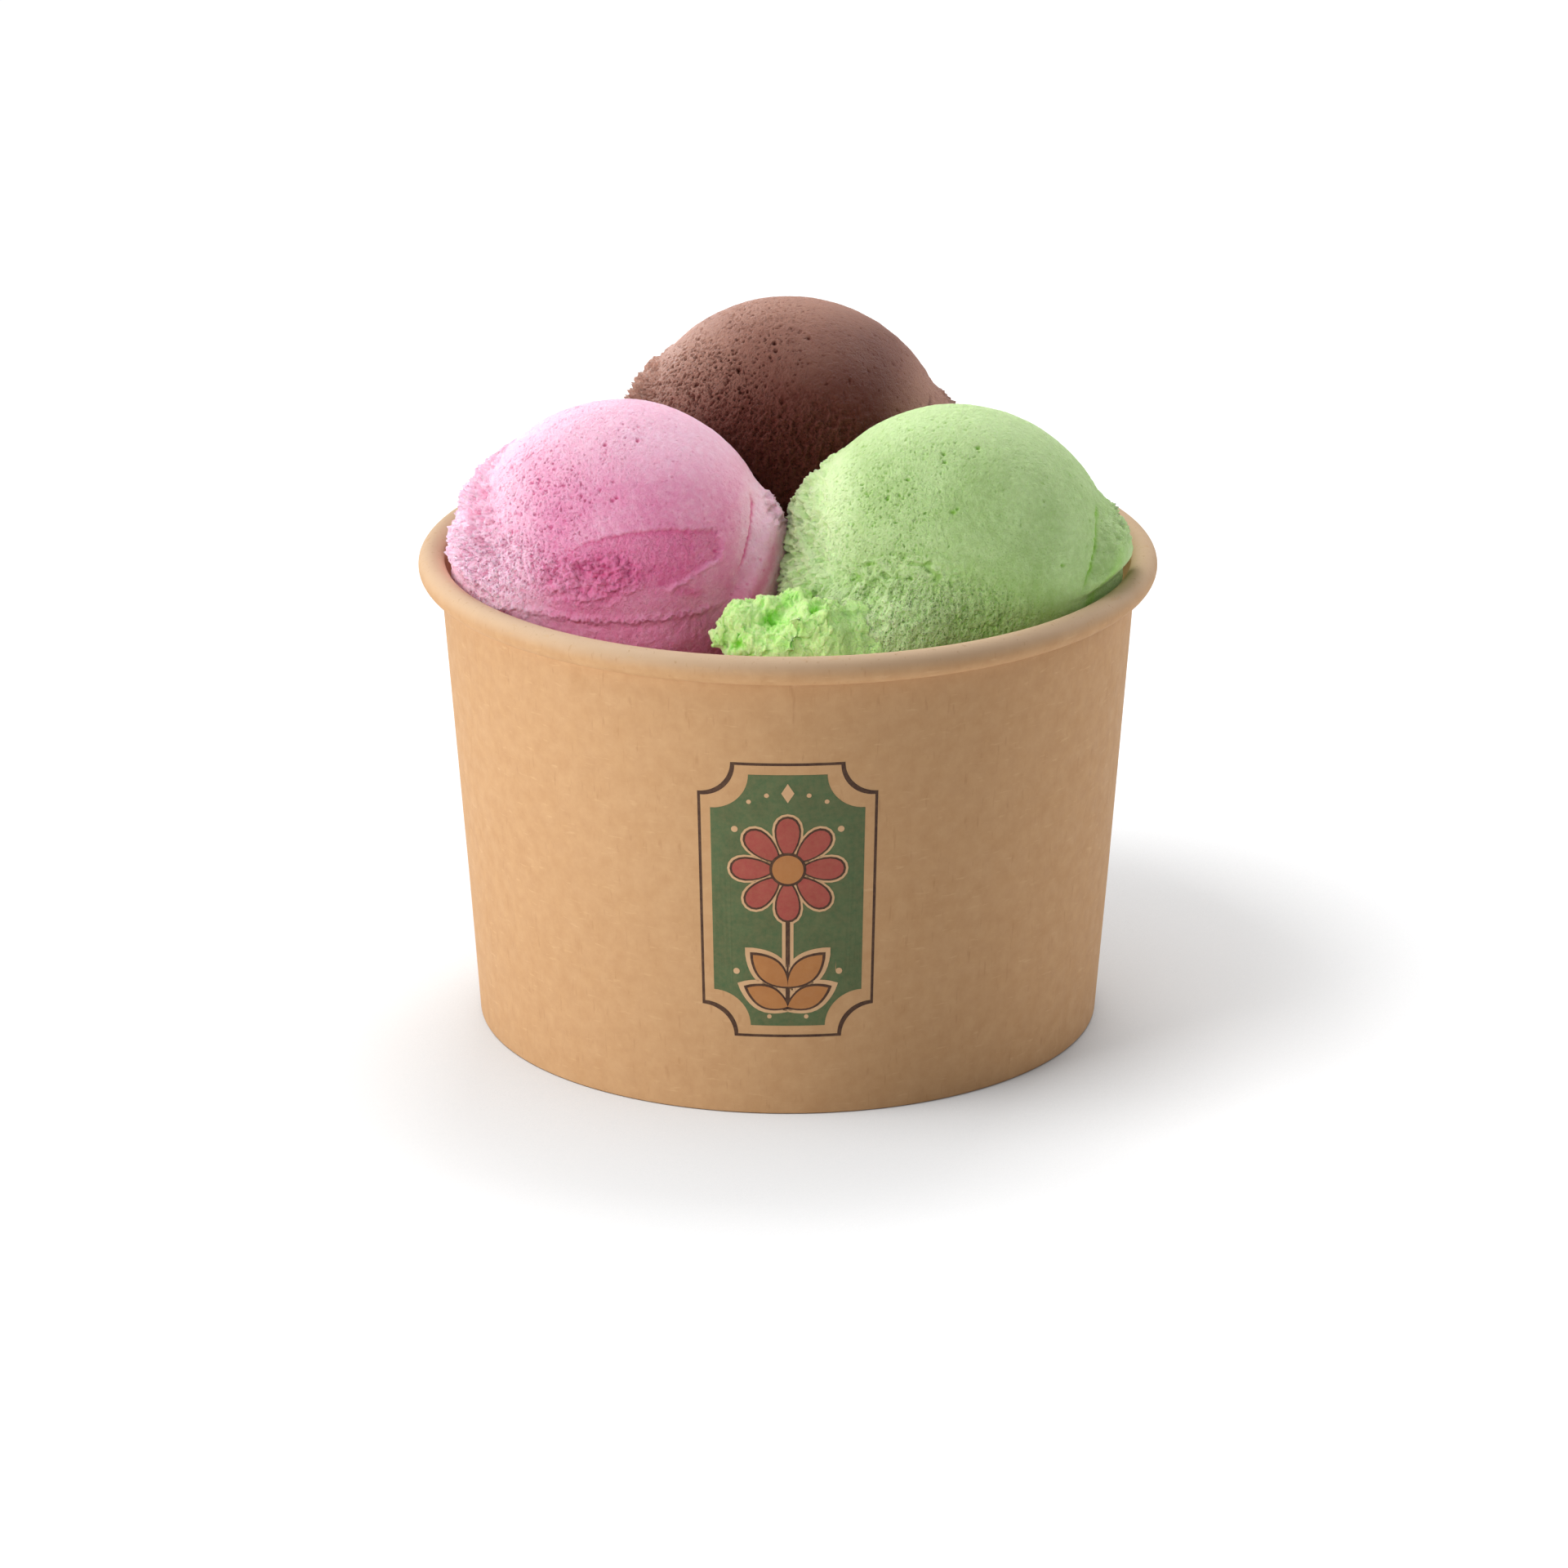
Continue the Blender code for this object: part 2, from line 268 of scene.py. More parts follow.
def strawberry_relief(face, grain):
    """A shallow scrape across the front, torn gelato heaped at its left, and the collar's lower edge.
    Returns the relief, its painted shade, how rough and smooth it is, and its frost and painted light."""
    across, up, front = face.across, face.up, face.front
    jag = smooth_noise(grain * 0.8, 71) + 0.8 * smooth_noise(grain * 2.1, 72)

    # The scrape, which is deepest at its top and has marks drawn along it
    top = 0.116 - 0.30 * np.minimum(0, across - 0.35) ** 2 - 0.5 * np.maximum(0, -0.26 - across)
    top += 0.012 * jag
    end = 0.665 - 1.1 * (up - 0.03) ** 2 + 0.016 * jag
    bottom = -0.258 + 0.62 * np.maximum(0, across - 0.335) + 0.010 * jag
    below = np.where(across > 0.25, ramp(up, bottom - 0.008, bottom + 0.012), ramp(up, -0.36, -0.16))
    scraped = ramp(up, top + 0.005, top - 0.010) * ramp(across, end + 0.008, end - 0.012)
    scraped *= below * ramp(across, -0.5, -0.3) * front
    drawn = smooth_noise(grain * (0.4, 0.4, 1.5), 73) + 0.6 * torn(grain, 1.1, 74)
    cut = 0.006 + 0.05 * np.clip(up + 0.28, 0, 0.4) * ramp(across, -0.4, 0.1)
    relief = -scraped * (cut - 0.0045 * drawn)
    # Painted shade in the scrape, stronger to its right, with a painted shadow line under its top edge
    hollow = scraped * (0.12 + 0.26 * ramp(across, -0.35, 0.1) + 0.25 * ridge(up, top - 0.01, 0.02))

    # Gelato pushed up into thin flaps along the scrape's lower and right edges
    flap = ridge(up, bottom - 0.020, 0.020) * ramp(across, 0.3, 0.37) * ramp(across, 0.7, 0.6)
    end_flap = ridge(across, end + 0.012, 0.016) * ramp(up, -0.13, -0.06) * ramp(up, 0.1, 0.02)
    relief += front * (flap + 0.7 * end_flap) * (0.010 + 0.012 * torn(grain, 0.9, 75))

    # The heap of torn gelato, and a small dent right of it
    heap = blob(across, up, (-0.17, -0.20), (0.33, 0.16), 0.4) * front
    height, cracks = flakes(grain * (0.8, 0.8, 1.1), 1.1, 79)
    crest = 0.6 * torn(grain * (1, 1, 1.25), 1.6, 76) + 0.5 * height
    relief += heap * (0.008 + 0.032 * crest - 0.014 * cracks)
    dent = blob(across, up, (0.46, -0.29), (0.1, 0.03), 0.5) * front
    relief += dent * 0.012 * torn(grain, 1.0, 77)
    # Painted shade in the heap's crevices and the dent, and low on the front, fading out to the left
    hollow += heap * (0.12 + 0.5 * np.maximum(0, -crest)) + dent * 0.3
    hollow += 0.3 * ramp(up, 0.15, -0.4) * ramp(across, -0.5, 0.0) * front

    # The collar's lower edge: a crumbly lip, and under it a band that flares out towards the cup
    edge = 0.305 - 0.17 * across**2 - 2.9 * np.maximum(0, -across - 0.6) ** 2 + 0.012 * jag
    spread = ramp(across, 0.78, 0.55) * ramp(face.out, -0.25, 0.0)
    crumb = np.maximum(0.2, 0.55 + 0.6 * torn(grain, 0.8, 78))
    band = spread * ramp(face.mouth, edge - 0.004, edge - 0.030)
    relief += spread * 0.028 * ridge(face.mouth, edge + 0.004, 0.024) * crumb
    relief -= band * (0.022 * ramp(across, -0.6, -0.9) - 0.006 * torn(grain, 1.1, 70))
    relief += spread * 0.05 * ramp(face.mouth, edge - 0.01, edge - 0.19)
    # Painted shade on the band under the lip, deep at the far left
    hollow += band * (0.05 + 0.9 * ramp(across, -0.55, -0.85))

    rough = np.maximum(blob(across, up, (-0.82, -0.12), (0.5, 0.26), 0.45), 0.6 * scraped)
    smooth = np.maximum(0.2 * scraped, 0.3 * band)
    # Paler from frost and painted light: the top, the left side, most where low, the right side and the
    # band
    frost_and_painted_light = highest(
        0.7 * ramp(up, 0.15, 0.8),
        ramp(-across, 0.3, 0.75) * (0.7 + 0.25 * ramp(up, 0.2, -0.2)),
        0.75 * ramp(across, 0.68, 0.9),
        0.2 * band,
    )
    return relief, hollow, rough, smooth, frost_and_painted_light


def pistachio_relief(face, grain):
    """Chips along the front, and torn gelato where the tail begins, returned as for strawberry."""
    across, up, front = face.across, face.up, face.front
    chips = blob(across, up, (-0.37, -0.07), (0.38, 0.12), 0.5) * front
    height, cracks = flakes(grain * (0.8, 0.8, 1.4), 1.7, 81)
    gone = ramp(smooth_noise(grain * (0.55, 0.55, 1.0), 83), 0.22, 0.5)
    relief = chips * (0.008 * height - 0.016 * gone + 0.008 * torn(grain, 1.1, 84))
    # Painted shade where chips have broken away and in the cracks between them
    hollow = chips * (0.35 * gone + 0.25 * cracks)

    # Swellings that lead down into the tail, and a skirt at its left
    heap = blob(across, up, (-0.72, -0.36), (0.42, 0.28), 0.5) * front
    crest = torn(grain * (1, 1, 0.7), 2.2, 82)
    upper = 0.36 * blob(across, up, (-0.74, -0.42), (0.22, 0.18), 0.95)
    lower = 0.22 * blob(across, up, (-0.46, -0.50), (0.34, 0.22), 0.95)
    lobe = np.maximum(upper, lower) * front
    skirt = 0.11 * blob(across, up, (-0.95, -0.34), (0.22, 0.28), 0.7) * ramp(face.out, -0.5, -0.1)
    relief += heap * 0.026 * crest + np.maximum(lobe, skirt)
    # Painted shade in the heap's crevices, and low on the front, fading out to the left
    hollow += 0.5 * heap * np.maximum(0, -crest)
    hollow += 0.25 * ramp(up, 0.1, -0.4) * ramp(across, -0.2, 0.2) * front

    rough = blob(across, up, (-0.35, -0.38), (0.85, 0.3), 0.4)
    # Paler from frost and painted light: the top, the left, the lobes into the tail, chips, heap and
    # rough
    frost_and_painted_light = highest(
        0.5 * ramp(up, 0.4, 0.95),
        ramp(-across, 0.45, 0.85),
        np.minimum(1, 3 * lobe),
        chips * (0.5 - 0.4 * gone),
        0.5 * heap + 0.35 * rough,
    )
    return relief, hollow, rough, 0.0, frost_and_painted_light


def chocolate_relief(face, grain):
    """Coarse and crumbly low on the front, darkened there by painted shade, returned as for strawberry.
    """
    across, up, front = face.across, face.up, face.front
    rough = blob(across, up, (0.03, -0.15), (0.6, 0.42), 0.5)
    crest = torn(grain, 1.3, 91)
    relief = rough * front * 0.011 * crest
    # Painted shade low on the front, reaching higher towards the right, and in the rough part's crevices
    dark = ramp(up - 0.25 * across, 0.95, 0.22) * front * ramp(across, 0.85, 0.5)
    hollow = 0.92 * dark + rough * 0.3 * np.maximum(0, -crest)
    # Paler from frost and painted light: at the left, on the top and at the right
    frost_and_painted_light = highest(
        0.75 * ramp(-across, 0.0, 0.7), 0.7 * ramp(up, 0.62, 0.97), 0.6 * ramp(across, 0.55, 0.9)
    )
    return relief, hollow, rough, 0.0, frost_and_painted_light


RELIEFS = {
    "strawberry": strawberry_relief,
    "pistachio": pistachio_relief,
    "chocolate": chocolate_relief,
}

# Larger pores, the same in every scoop: their place across and up, reach and depth
LARGE_PORES = (
    ((-0.085, 0.665), 0.017, 0.018),
    ((-0.080, 0.615), 0.019, 0.018),
    ((0.125, 0.700), 0.020, 0.013),
    ((-0.035, 0.300), 0.026, 0.014),
    ((-0.005, 0.318), 0.016, 0.014),
    ((0.640, -0.020), 0.016, 0.013),
    ((-0.560, 0.420), 0.018, 0.016),
    ((-0.300, 0.500), 0.016, 0.015),
)


def face_of(directions):
    """Each direction's place in the scoop's face. The mouth is the share of the way from the collar to
    the top of the dome."""
    face = SimpleNamespace(across=directions @ ACROSS, up=directions @ UP, out=directions @ OUT)
    face.mouth = directions @ DOME_AXIS
    face.front = ramp(face.out, 0.0, 0.25)
    face.back = ramp(face.out, 0.1, -0.3)
    return face


# The left collar's terraces: their level, as a face's mouth, and their height
TERRACES = ((0.50, 0.008), (0.395, 0.040), (0.27, 0.022), (0.03, 0.038), (-0.07, 0.020))
TEETH = 0.052  # how deep the collar's left edge is torn


def left_collar(face, grain, width):
    """Jagged terraces that the scoop's edge leaves at the left, and round the back. Returns their
    relief, the painted shade in the torn edge's bites, and painted light low at the far left."""
    sides = np.maximum(ramp(-face.across, 0.45, 0.85), ramp(-face.out, 0.1, 0.55))
    jag = 0.030 * smooth_noise(grain * 0.5, 41) + 0.025 * smooth_noise(grain * 1.2, 42)
    level = face.mouth + jag
    out = 0.014 * ramp(face.mouth, 0.55, 0.3)
    for edge, height in TERRACES:
        out += height * ramp(level, edge + 0.010, edge - 0.010)
        out -= 0.010 * ridge(level, edge + 0.022, 0.012)
    out += 0.014 * ramp(face.mouth, 0.42, 0.2) * smooth_noise(grain * 0.28, 43)
    torn_edge = ramp(face.mouth, 0.68, 0.42) * ramp(-face.across, 0.68, 0.93)
    bite = torn(grain * (1, 0.25, 1.1), 1.05, 44)
    # Painted shade in the bites of the torn edge
    hollow = torn_edge * np.maximum(0, -bite) * 0.2
    out = out * width + torn_edge * TEETH * bite
    # The third share is painted light, low at the far left
    return out * sides, hollow * sides, ramp(-face.across, 0.7, 0.95) * ramp(face.mouth, 0.5, 0.3)


def right_collar(face, grain):
    """At the right, the collar's edge turns upright: a fine crease low down, and torn steps near the
    outline. Returns their relief, and the painted shade in the crease and the valley."""
    across, up = face.across, face.up
    jag = 0.010 * smooth_noise(grain * 0.7, 45) + 0.008 * smooth_noise(grain * 2.2, 46)
    bend = np.clip(up - 0.3, -0.8, 0)
    sideways = across + 0.415 * bend**2 + jag
    lobe = 0.050 * ramp(up, 0.58, 0.36) + 0.055 * ramp(up, 0.34, 0.10)
    out = lobe * ramp(sideways, 0.860, 0.960)
    tatters = ramp(sideways, 0.90, 0.95) * ramp(up, 0.62, 0.45) * ramp(up, 0.05, 0.25)
    out += 0.045 * tatters * torn(grain * (1, 0.25, 1.3), 0.9, 47)
    crease_ends = ramp(up, 0.40, 0.30) * ramp(up, -0.20, -0.06)
    fine = smooth_noise(grain * 1.6, 48)
    crease = ridge(sideways, 0.862, 0.0070) * crease_ends * (0.7 + 0.3 * fine)
    valley = ridge(sideways, 0.955, 0.024) * ramp(up, 0.20, -0.05)
    right = ramp(across, 0.6, 0.75)
    front = right * face.front
    out = out * right * ramp(face.out, -0.3, 0.0) - front * (0.015 * crease + 0.012 * valley)
    # The second share is painted shade in the crease and the valley
    return out, front * (1.3 * crease + 0.5 * valley)


# How far each flavour's collar stands out, and how many pores it has
COLLAR_WIDTH = {"strawberry": 0.95, "pistachio": 0.7, "chocolate": 0.5}
POROUS = {"strawberry": 1.0, "pistachio": 0.85, "chocolate": 1.45}


def scoop_surface(flavour, scoop, directions):
    """How far the surface is from the scoop's centre, as a share of its radius, and, from 0 to 1, the
    painted shade there, how rough it is, and how pale it is from frost and painted light."""
    face = face_of(directions)
    grain = directions * (scoop.radius / MM) + scoop.seed * 17.3
    bent = grain + 0.3 * np.stack([smooth_noise(grain * 0.9, 31 + i) for i in range(3)], -1)
    relief, hollow, rough, smooth, frost_and_painted_light = RELIEFS[flavour](face, grain)
    left, left_hollow, pale = left_collar(face, grain, COLLAR_WIDTH[flavour])
    right, right_hollow = right_collar(face, grain)
    share = 1 + relief + left + right
    share += 0.006 * smooth_noise(grain * 0.12, 61) + 0.0022 * smooth_noise(grain * 0.45, 62)
    share += 0.0026 * smooth_noise(grain * 2.2, 63)

    # Pores: close together left of the middle, fewer above it, and a few elsewhere
    calm = 1 - np.clip(smooth * 1.4, 0, 1)
    cluster = blob(face.across, face.up, (-0.55, 0.24), (0.44, 0.48), 0.5) * face.front
    above = blob(face.across, face.up, (-0.28, 0.76), (0.5, 0.32), 0.6)
    patches = ramp(smooth_noise(grain * 0.13, 64), 0.0, 0.5) * face.back
    porous = highest(0.72 * cluster, 0.38 * above, 0.45 * patches, 0.08)
    porous = np.minimum(porous * POROUS[flavour], 0.9) * calm
    pits = pores(bent, 0.64, 0.75 * porous, scoop.seed + 1)
    small_pits = pores(bent, 0.44, porous, scoop.seed + 2)
    crooked = pocks(bent, 0.42, porous, scoop.seed + 4)
    share -= 0.011 * pits + 0.008 * small_pits + 0.013 * crooked
    # Painted shade in the pits
    hollow = hollow + 0.55 * pits + 0.35 * small_pits + 0.6 * crooked
    for (across, up), reach, depth in LARGE_PORES:
        distance = np.hypot(face.across - across, (face.up - up) * 1.2)
        pit = ramp(distance + 0.007 * smooth_noise(grain * 1.5, 65), reach, reach * 0.2) * face.front
        share -= depth * pit
        # Painted shade in each larger pore
        hollow = hollow + 0.8 * pit

    # Rough zones: upright cracks between flakes, with painted shade in the cracks
    height, cracks = flakes(grain * (1.7, 1.7, 0.6), 1.2, scoop.seed + 3)
    low = ramp(face.mouth, 0.6, 0.2) * (1 - face.front) * 0.7
    rough = np.maximum(rough * face.front, low) * calm
    share += rough * (0.005 * height - 0.009 * cracks + 0.005 * torn(grain, 1.0, 66))
    hollow = hollow + 0.4 * rough * cracks
    hollow = np.clip(hollow + left_hollow + right_hollow, 0, 1)
    return share, hollow, np.maximum(rough, 0.9 * porous), np.maximum(pale, frost_and_painted_light)


def wall_radius(z):
    """Outer radius of the cup's wall at a height."""
    return FOOT_RADIUS + z * math.tan(WALL_TAPER)


SQUASH = 0.0003  # how softly gelato gives way where it meets the paper


def kept_inside(points):
    """Points pushed in where they would reach the cup's wall or rim."""
    z = points[:, 2]
    wall = wall_radius(np.minimum(z, CUP_HEIGHT)) - PAPER - GAP
    over_rim = np.maximum(0, z - CUP_HEIGHT - GAP) * 0.9
    bead = BEAD_CENTRE_R - BEAD_RADIUS - GAP
    limit = np.where(z < BEAD_CENTRE_Z - BEAD_RADIUS, wall, np.minimum(wall, bead)) + over_rim
    reach = np.hypot(points[:, 0], points[:, 1])
    beyond = SQUASH * np.logaddexp(0, (reach - limit) / SQUASH)
    pull = 1 - beyond / np.maximum(reach, 1e-6)
    return np.stack([points[:, 0] * pull, points[:, 1] * pull, z], -1)


def make_scoop(flavour, material):
    scoop = SCOOPS[flavour]
    directions, faces = ball_directions(BALL_GRID, FINE_SIDE, BALL_GRADE)
    share, hollow, rough, pale = scoop_surface(flavour, scoop, directions)
    points = directions * (share * scoop.radius)[:, None] + np.array(scoop.centre)
    piece = new_piece(f"{flavour}_scoop", kept_inside(points), faces, material)
    paint(piece, hollow=hollow, rough=rough, pale=pale)
    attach(piece, "root")
    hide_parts(f"scoop_{flavour}")
    return piece


# The tail of torn gelato, in millimetres: its clumps (centre and radius), and the hollows between them
# (across and up as seen from the front, reach and depth)
TAIL_CLUMPS = (
    ((8.8, -27.6, 58.4), 6.6),
    ((4.6, -29.6, 59.4), 5.6),
    ((0.6, -30.4, 59.6), 4.8),
    ((-2.8, -30.6, 59.8), 3.9),
    ((-5.2, -30.8, 59.6), 3.0),
    ((-5.7, -30.6, 63.0), 2.3),
    ((-7.7, -30.6, 60.8), 1.7),
    ((-4.0, -32.6, 60.4), 2.4),
    ((-0.8, -33.4, 60.5), 2.3),
    ((2.6, -31.0, 62.2), 3.8),
    ((-4.0, -30.3, 63.1), 2.1),
    ((-2.2, -29.4, 63.6), 2.1),
    ((0.6, -28.2, 63.9), 2.7),
    ((5.4, -31.6, 60.6), 3.4),
)
TAIL_HOLLOWS = (
    ((-1.9, 49.5), 1.6, 0.75),
    ((-6.2, 46.4), 0.9, 0.4),
    ((3.3, 51.0), 1.2, 0.7),
)
TAIL_VOXEL = 0.00019
TAIL_CHIPS = 110
FIRST_CHIPPED_CLUMP = 3
CHIP_SEED = 5
CHIP_DEPTH = 0.94  # how far out on its clump a chip sits, as a share of the clump's radius
CHIP_SIZE = (0.7, 1.5)
CHIP_STRETCH = ((0.5, 0.5, 0.8), (1.0, 1.0, 1.9))
CHIP_TILT = 0.6


def fused_clumps(name):
    """Clumps and small chips on them, fused to one closed skin."""
    random = np.random.default_rng(CHIP_SEED)
    bm = bmesh.new()
    for centre, radius in TAIL_CLUMPS:
        ball = bmesh.ops.create_icosphere(bm, subdivisions=3, radius=radius * MM)["verts"]
        bmesh.ops.translate(bm, vec=Vector(centre) * MM, verts=ball)
    chipped = TAIL_CLUMPS[FIRST_CHIPPED_CLUMP:]
    for i in range(TAIL_CHIPS):
        centre, radius = chipped[i % len(chipped)]
        aside = random.normal(size=3)
        aside *= radius * CHIP_DEPTH / np.linalg.norm(aside)
        chip = bmesh.ops.create_cube(bm, size=random.uniform(*CHIP_SIZE) * MM)["verts"]
        bmesh.ops.scale(bm, vec=random.uniform(*CHIP_STRETCH), verts=chip)
        turn = Euler(random.uniform(-CHIP_TILT, CHIP_TILT, 3)).to_matrix()
        bmesh.ops.rotate(bm, cent=(0, 0, 0), matrix=turn, verts=chip)
        bmesh.ops.translate(bm, vec=Vector(np.array(centre) + aside) * MM, verts=chip)
    mesh = bpy.data.meshes.new(name)
    bm.to_mesh(mesh)
    bm.free()
    piece = placed(name, mesh)
    remesh = piece.modifiers.new("Fuse", "REMESH")
    remesh.mode = "VOXEL"
    remesh.voxel_size = TAIL_VOXEL
    piece.data = bpy.data.meshes.new_from_object(
        piece.evaluated_get(bpy.context.evaluated_depsgraph_get())
    )
    piece.modifiers.clear()
    return piece


def make_tail(material):
    """The crumbly tail that hangs over towards the strawberry scoop."""
    piece = fused_clumps("pistachio_tail")
    piece.data.materials.append(material)
    points = np.empty(len(piece.data.vertices) * 3)
    normals = np.empty(len(points))
    piece.data.vertices.foreach_get("co", points)
    piece.data.vertex_normals.foreach_get("vector", normals)
    points = points.reshape(-1, 3)
    normals = normals.reshape(-1, 3)
    grain = points / MM
    crest = smooth_noise(grain * (0.36, 0.36, 0.25), 103)
    height, cracks = flakes(grain * (1, 1, 0.5), 1.5, 102)
    push = 0.6 * crest + 0.14 * torn(grain * (1, 1, 0.6), 1.8, 101) + 0.26 * height - 0.14 * cracks
    push += 0.10 * smooth_noise(grain * (1.8, 1.8, 0.4), 104)
    # Painted shade in the hollows between crests and in the cracks
    hollow = 0.7 * np.maximum(0, -crest - 0.25) + 0.25 * cracks
    facing = ramp(normals @ OUT, 0.0, 0.4)
    # Pits in the front of the tail, with painted shade in them
    for (across, up), reach, depth in TAIL_HOLLOWS:
        distance = np.hypot(grain @ ACROSS - across, grain @ UP - up)
        distance += 0.6 * smooth_noise(grain * 0.8, 105) + 0.35 * smooth_noise(grain * 2.1, 106)
        pit = ramp(distance, reach * 1.25, 0) * facing
        push -= depth * pit
        hollow = hollow + 0.9 * pit
    points = kept_inside(points + normals * (push * MM)[:, None])
    piece.data.vertices.foreach_set("co", points.ravel())
    piece.data.shade_smooth()
    # Painted light on the left end, with deeper painted shade there, and painted highlights on crests
    painted_light_end = ramp(grain[:, 0], 9, 4)
    hollow = np.clip(hollow * (0.3 + 0.7 * painted_light_end), 0, 1)
    pale = np.clip(painted_light_end + 0.4 * crest, 0, 1)
    paint(piece, hollow=hollow, rough=np.full(len(points), 0.3), pale=pale)
    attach(piece, "root")
    return piece


# Gelato under the scoops

BED_TURNS = 140
BED_STEPS = 46
BED_SEAM = 0.0007  # depth of the groove where two flavours meet
BED_SEAM_WIDTH = 0.0012
BED_EDGE_RISE = 0.0007  # how far the bed climbs up the wall
BED_WAVES, BED_GRIT, BED_PITS = 0.0009, 0.00012, 0.0003  # heights
BED_SHARP_ANGLE = math.radians(50)


def radical_line(one, other):
    """Where two balls press together at the bed: the line normal . (x, y) = offset."""
    apart = other.centre - one.centre
    distance = apart.length
    share = (distance**2 + one.radius**2 - other.radius**2) / (2 * distance)
    normal = apart.normalized()
    point = one.centre + normal * share
    flat = Vector((normal.x, normal.y))
    return flat, flat.x * point.x + flat.y * point.y - normal.z * (BED_HEIGHT_AT_CENTRE - point.z)


def meeting_point():
    """Where the three flavours meet on the bed."""
    names = list(SCOOPS)
    (n1, d1), (n2, d2) = (radical_line(SCOOPS[names[0]], SCOOPS[other]) for other in names[1:])
    cross = n1.x * n2.y - n1.y * n2.x
    return Vector(((d1 * n2.y - d2 * n1.y) / cross, (n1.x * d2 - n2.x * d1) / cross))


def seam_angle(one, other):
    """The direction of the seam between two flavours, away from the cup's axis."""
    normal, _ = radical_line(one, other)
    along = Vector((-normal.y, normal.x))
    middle = (one.centre + other.centre).xy / 2
    if along.dot(middle) < 0:
        along = -along
    return math.atan2(along.y, along.x)


def make_bed(flavour, material):
    """A flavour's share of the gelato in the cup, pressed smooth and a little wavy on top."""
    scoop = SCOOPS[flavour]
    others = [SCOOPS[name] for name in SCOOPS if name != flavour]
    towards = math.atan2(scoop.centre.y, scoop.centre.x)
    seams = [seam_angle(scoop, other) - towards for other in others]
    seams = [(seam + math.pi) % (2 * math.pi) - math.pi for seam in seams]
    start, end = towards + min(seams), towards + max(seams)
    middle = meeting_point()
    wall = wall_radius(BED_HEIGHT_AT_WALL) - PAPER - GAP
    floor = BASE_HEIGHT + GAP
    floor_wall = wall_radius(floor) - PAPER - GAP

    points = []
    for i in range(BED_TURNS + 1):
        angle = start + (end - start) * i / BED_TURNS
        ray = Vector((math.cos(angle), math.sin(angle)))
        along = middle.dot(ray)
        length = -along + math.sqrt(along**2 - middle.length_squared + wall**2)
        for j in range(BED_STEPS + 1):
            flat = middle + ray * (length * j / BED_STEPS)
            points.append((flat.x, flat.y, 0.0))
    points = np.array(points)
    reach = np.hypot(points[:, 0], points[:, 1]) / wall
    grain = points / MM
    turn = np.repeat(np.arange(BED_TURNS + 1), BED_STEPS + 1) / BED_TURNS
    from_seam = np.minimum(turn, 1 - turn) * (end - start) * reach * wall
    top = BED_HEIGHT_AT_CENTRE + (BED_HEIGHT_AT_WALL - BED_HEIGHT_AT_CENTRE) * reach**2
    top += BED_WAVES * layered_noise(grain * 0.14, scoop.seed + 5)
    top += BED_GRIT * torn(grain, 2.0, scoop.seed + 6)
    top -= BED_PITS * pores(grain, 1.1, 0.25, scoop.seed + 7)
    top -= BED_SEAM * ramp(from_seam, BED_SEAM_WIDTH, 0)
    top += BED_EDGE_RISE * ramp(reach, 0.93, 1)
    points[:, 2] = top

    row = BED_STEPS + 1
    faces = []
    for i in range(BED_TURNS):
        for j in range(BED_STEPS):
            a = i * row + j
            faces.append((a, a + 1, a + row + 1, a + row))
    border = list(range(row))
    border += [i * row + BED_STEPS for i in range(1, BED_TURNS + 1)]
    border += [BED_TURNS * row + j for j in range(BED_STEPS - 1, -1, -1)]
    border += [i * row for i in range(BED_TURNS - 1, 0, -1)]
    low = points[border] * (1, 1, 0) + (0, 0, floor)
    low[:, :2] *= np.minimum(1, floor_wall / np.maximum(np.hypot(low[:, 0], low[:, 1]), 1e-6))[:, None]
    first = len(points)
    points = np.vstack([points, low])
    for k, a in enumerate(border):
        following = (k + 1) % len(border)
        faces.append((border[following], a, first + k, first + following))
    faces.append(tuple(range(first, first + len(border)))[::-1])

    piece = new_piece(f"{flavour}_bed", points, faces, material)
    bm = bmesh.new()
    bm.from_mesh(piece.data)
    bmesh.ops.remove_doubles(bm, verts=bm.verts, dist=1e-7)
    bmesh.ops.recalc_face_normals(bm, faces=bm.faces)
    bm.to_mesh(piece.data)
    bm.free()
    plain = np.zeros(len(piece.data.vertices))
    paint(piece, hollow=plain, rough=plain, pale=plain)
    piece.data.set_sharp_from_angle(angle=BED_SHARP_ANGLE)
    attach(piece, "root")
    return piece


# Paper cup

WALL_TURNS = 288
PAPER_SHARP_ANGLE = math.radians(38)
SEAM_ANGLE = math.radians(97)  # the glued overlap, at the back of the cup
SEAM_STEP = 0.00035
SEAM_RUN = math.radians(14)  # over which the outer sheet rises to its step
SEAM_EDGE = math.radians(0.05)  # half the width of the step at the seam
SEAM_ON_BEAD = 0.7  # how much of the seam's step is left on the rolled rim
WAVER = 0.00010  # how far the wall is out of round
BEAD_START, BEAD_END = 152, -125  # the rolled rim's arc, in degrees above straight out
OUTER_DROP = 0.0004  # how far below the end of the rolled rim the outer face starts
INNER_DROP = 0.0006  # how far below the middle of the rolled rim the inner face ends
BEAD_RINGS, OUTER_RINGS, HEM_RINGS, INNER_RINGS = 34, 25, 9, 12
HEM_RIBS = 110
HEM_RIB_DEPTH = 0.00016
BASE_SAG = 0.00025
BASE_STEPS = 22
BASE_RIPPLES = 90
BASE_RIPPLE_DEPTH = 0.00012


def seam_lift(angle):
    """How far the outer sheet's edge stands out: it rises slowly and ends in a step."""
    past = (angle - SEAM_ANGLE) % (2 * math.pi)
    return SEAM_STEP * np.maximum(0, 1 - past / SEAM_RUN)


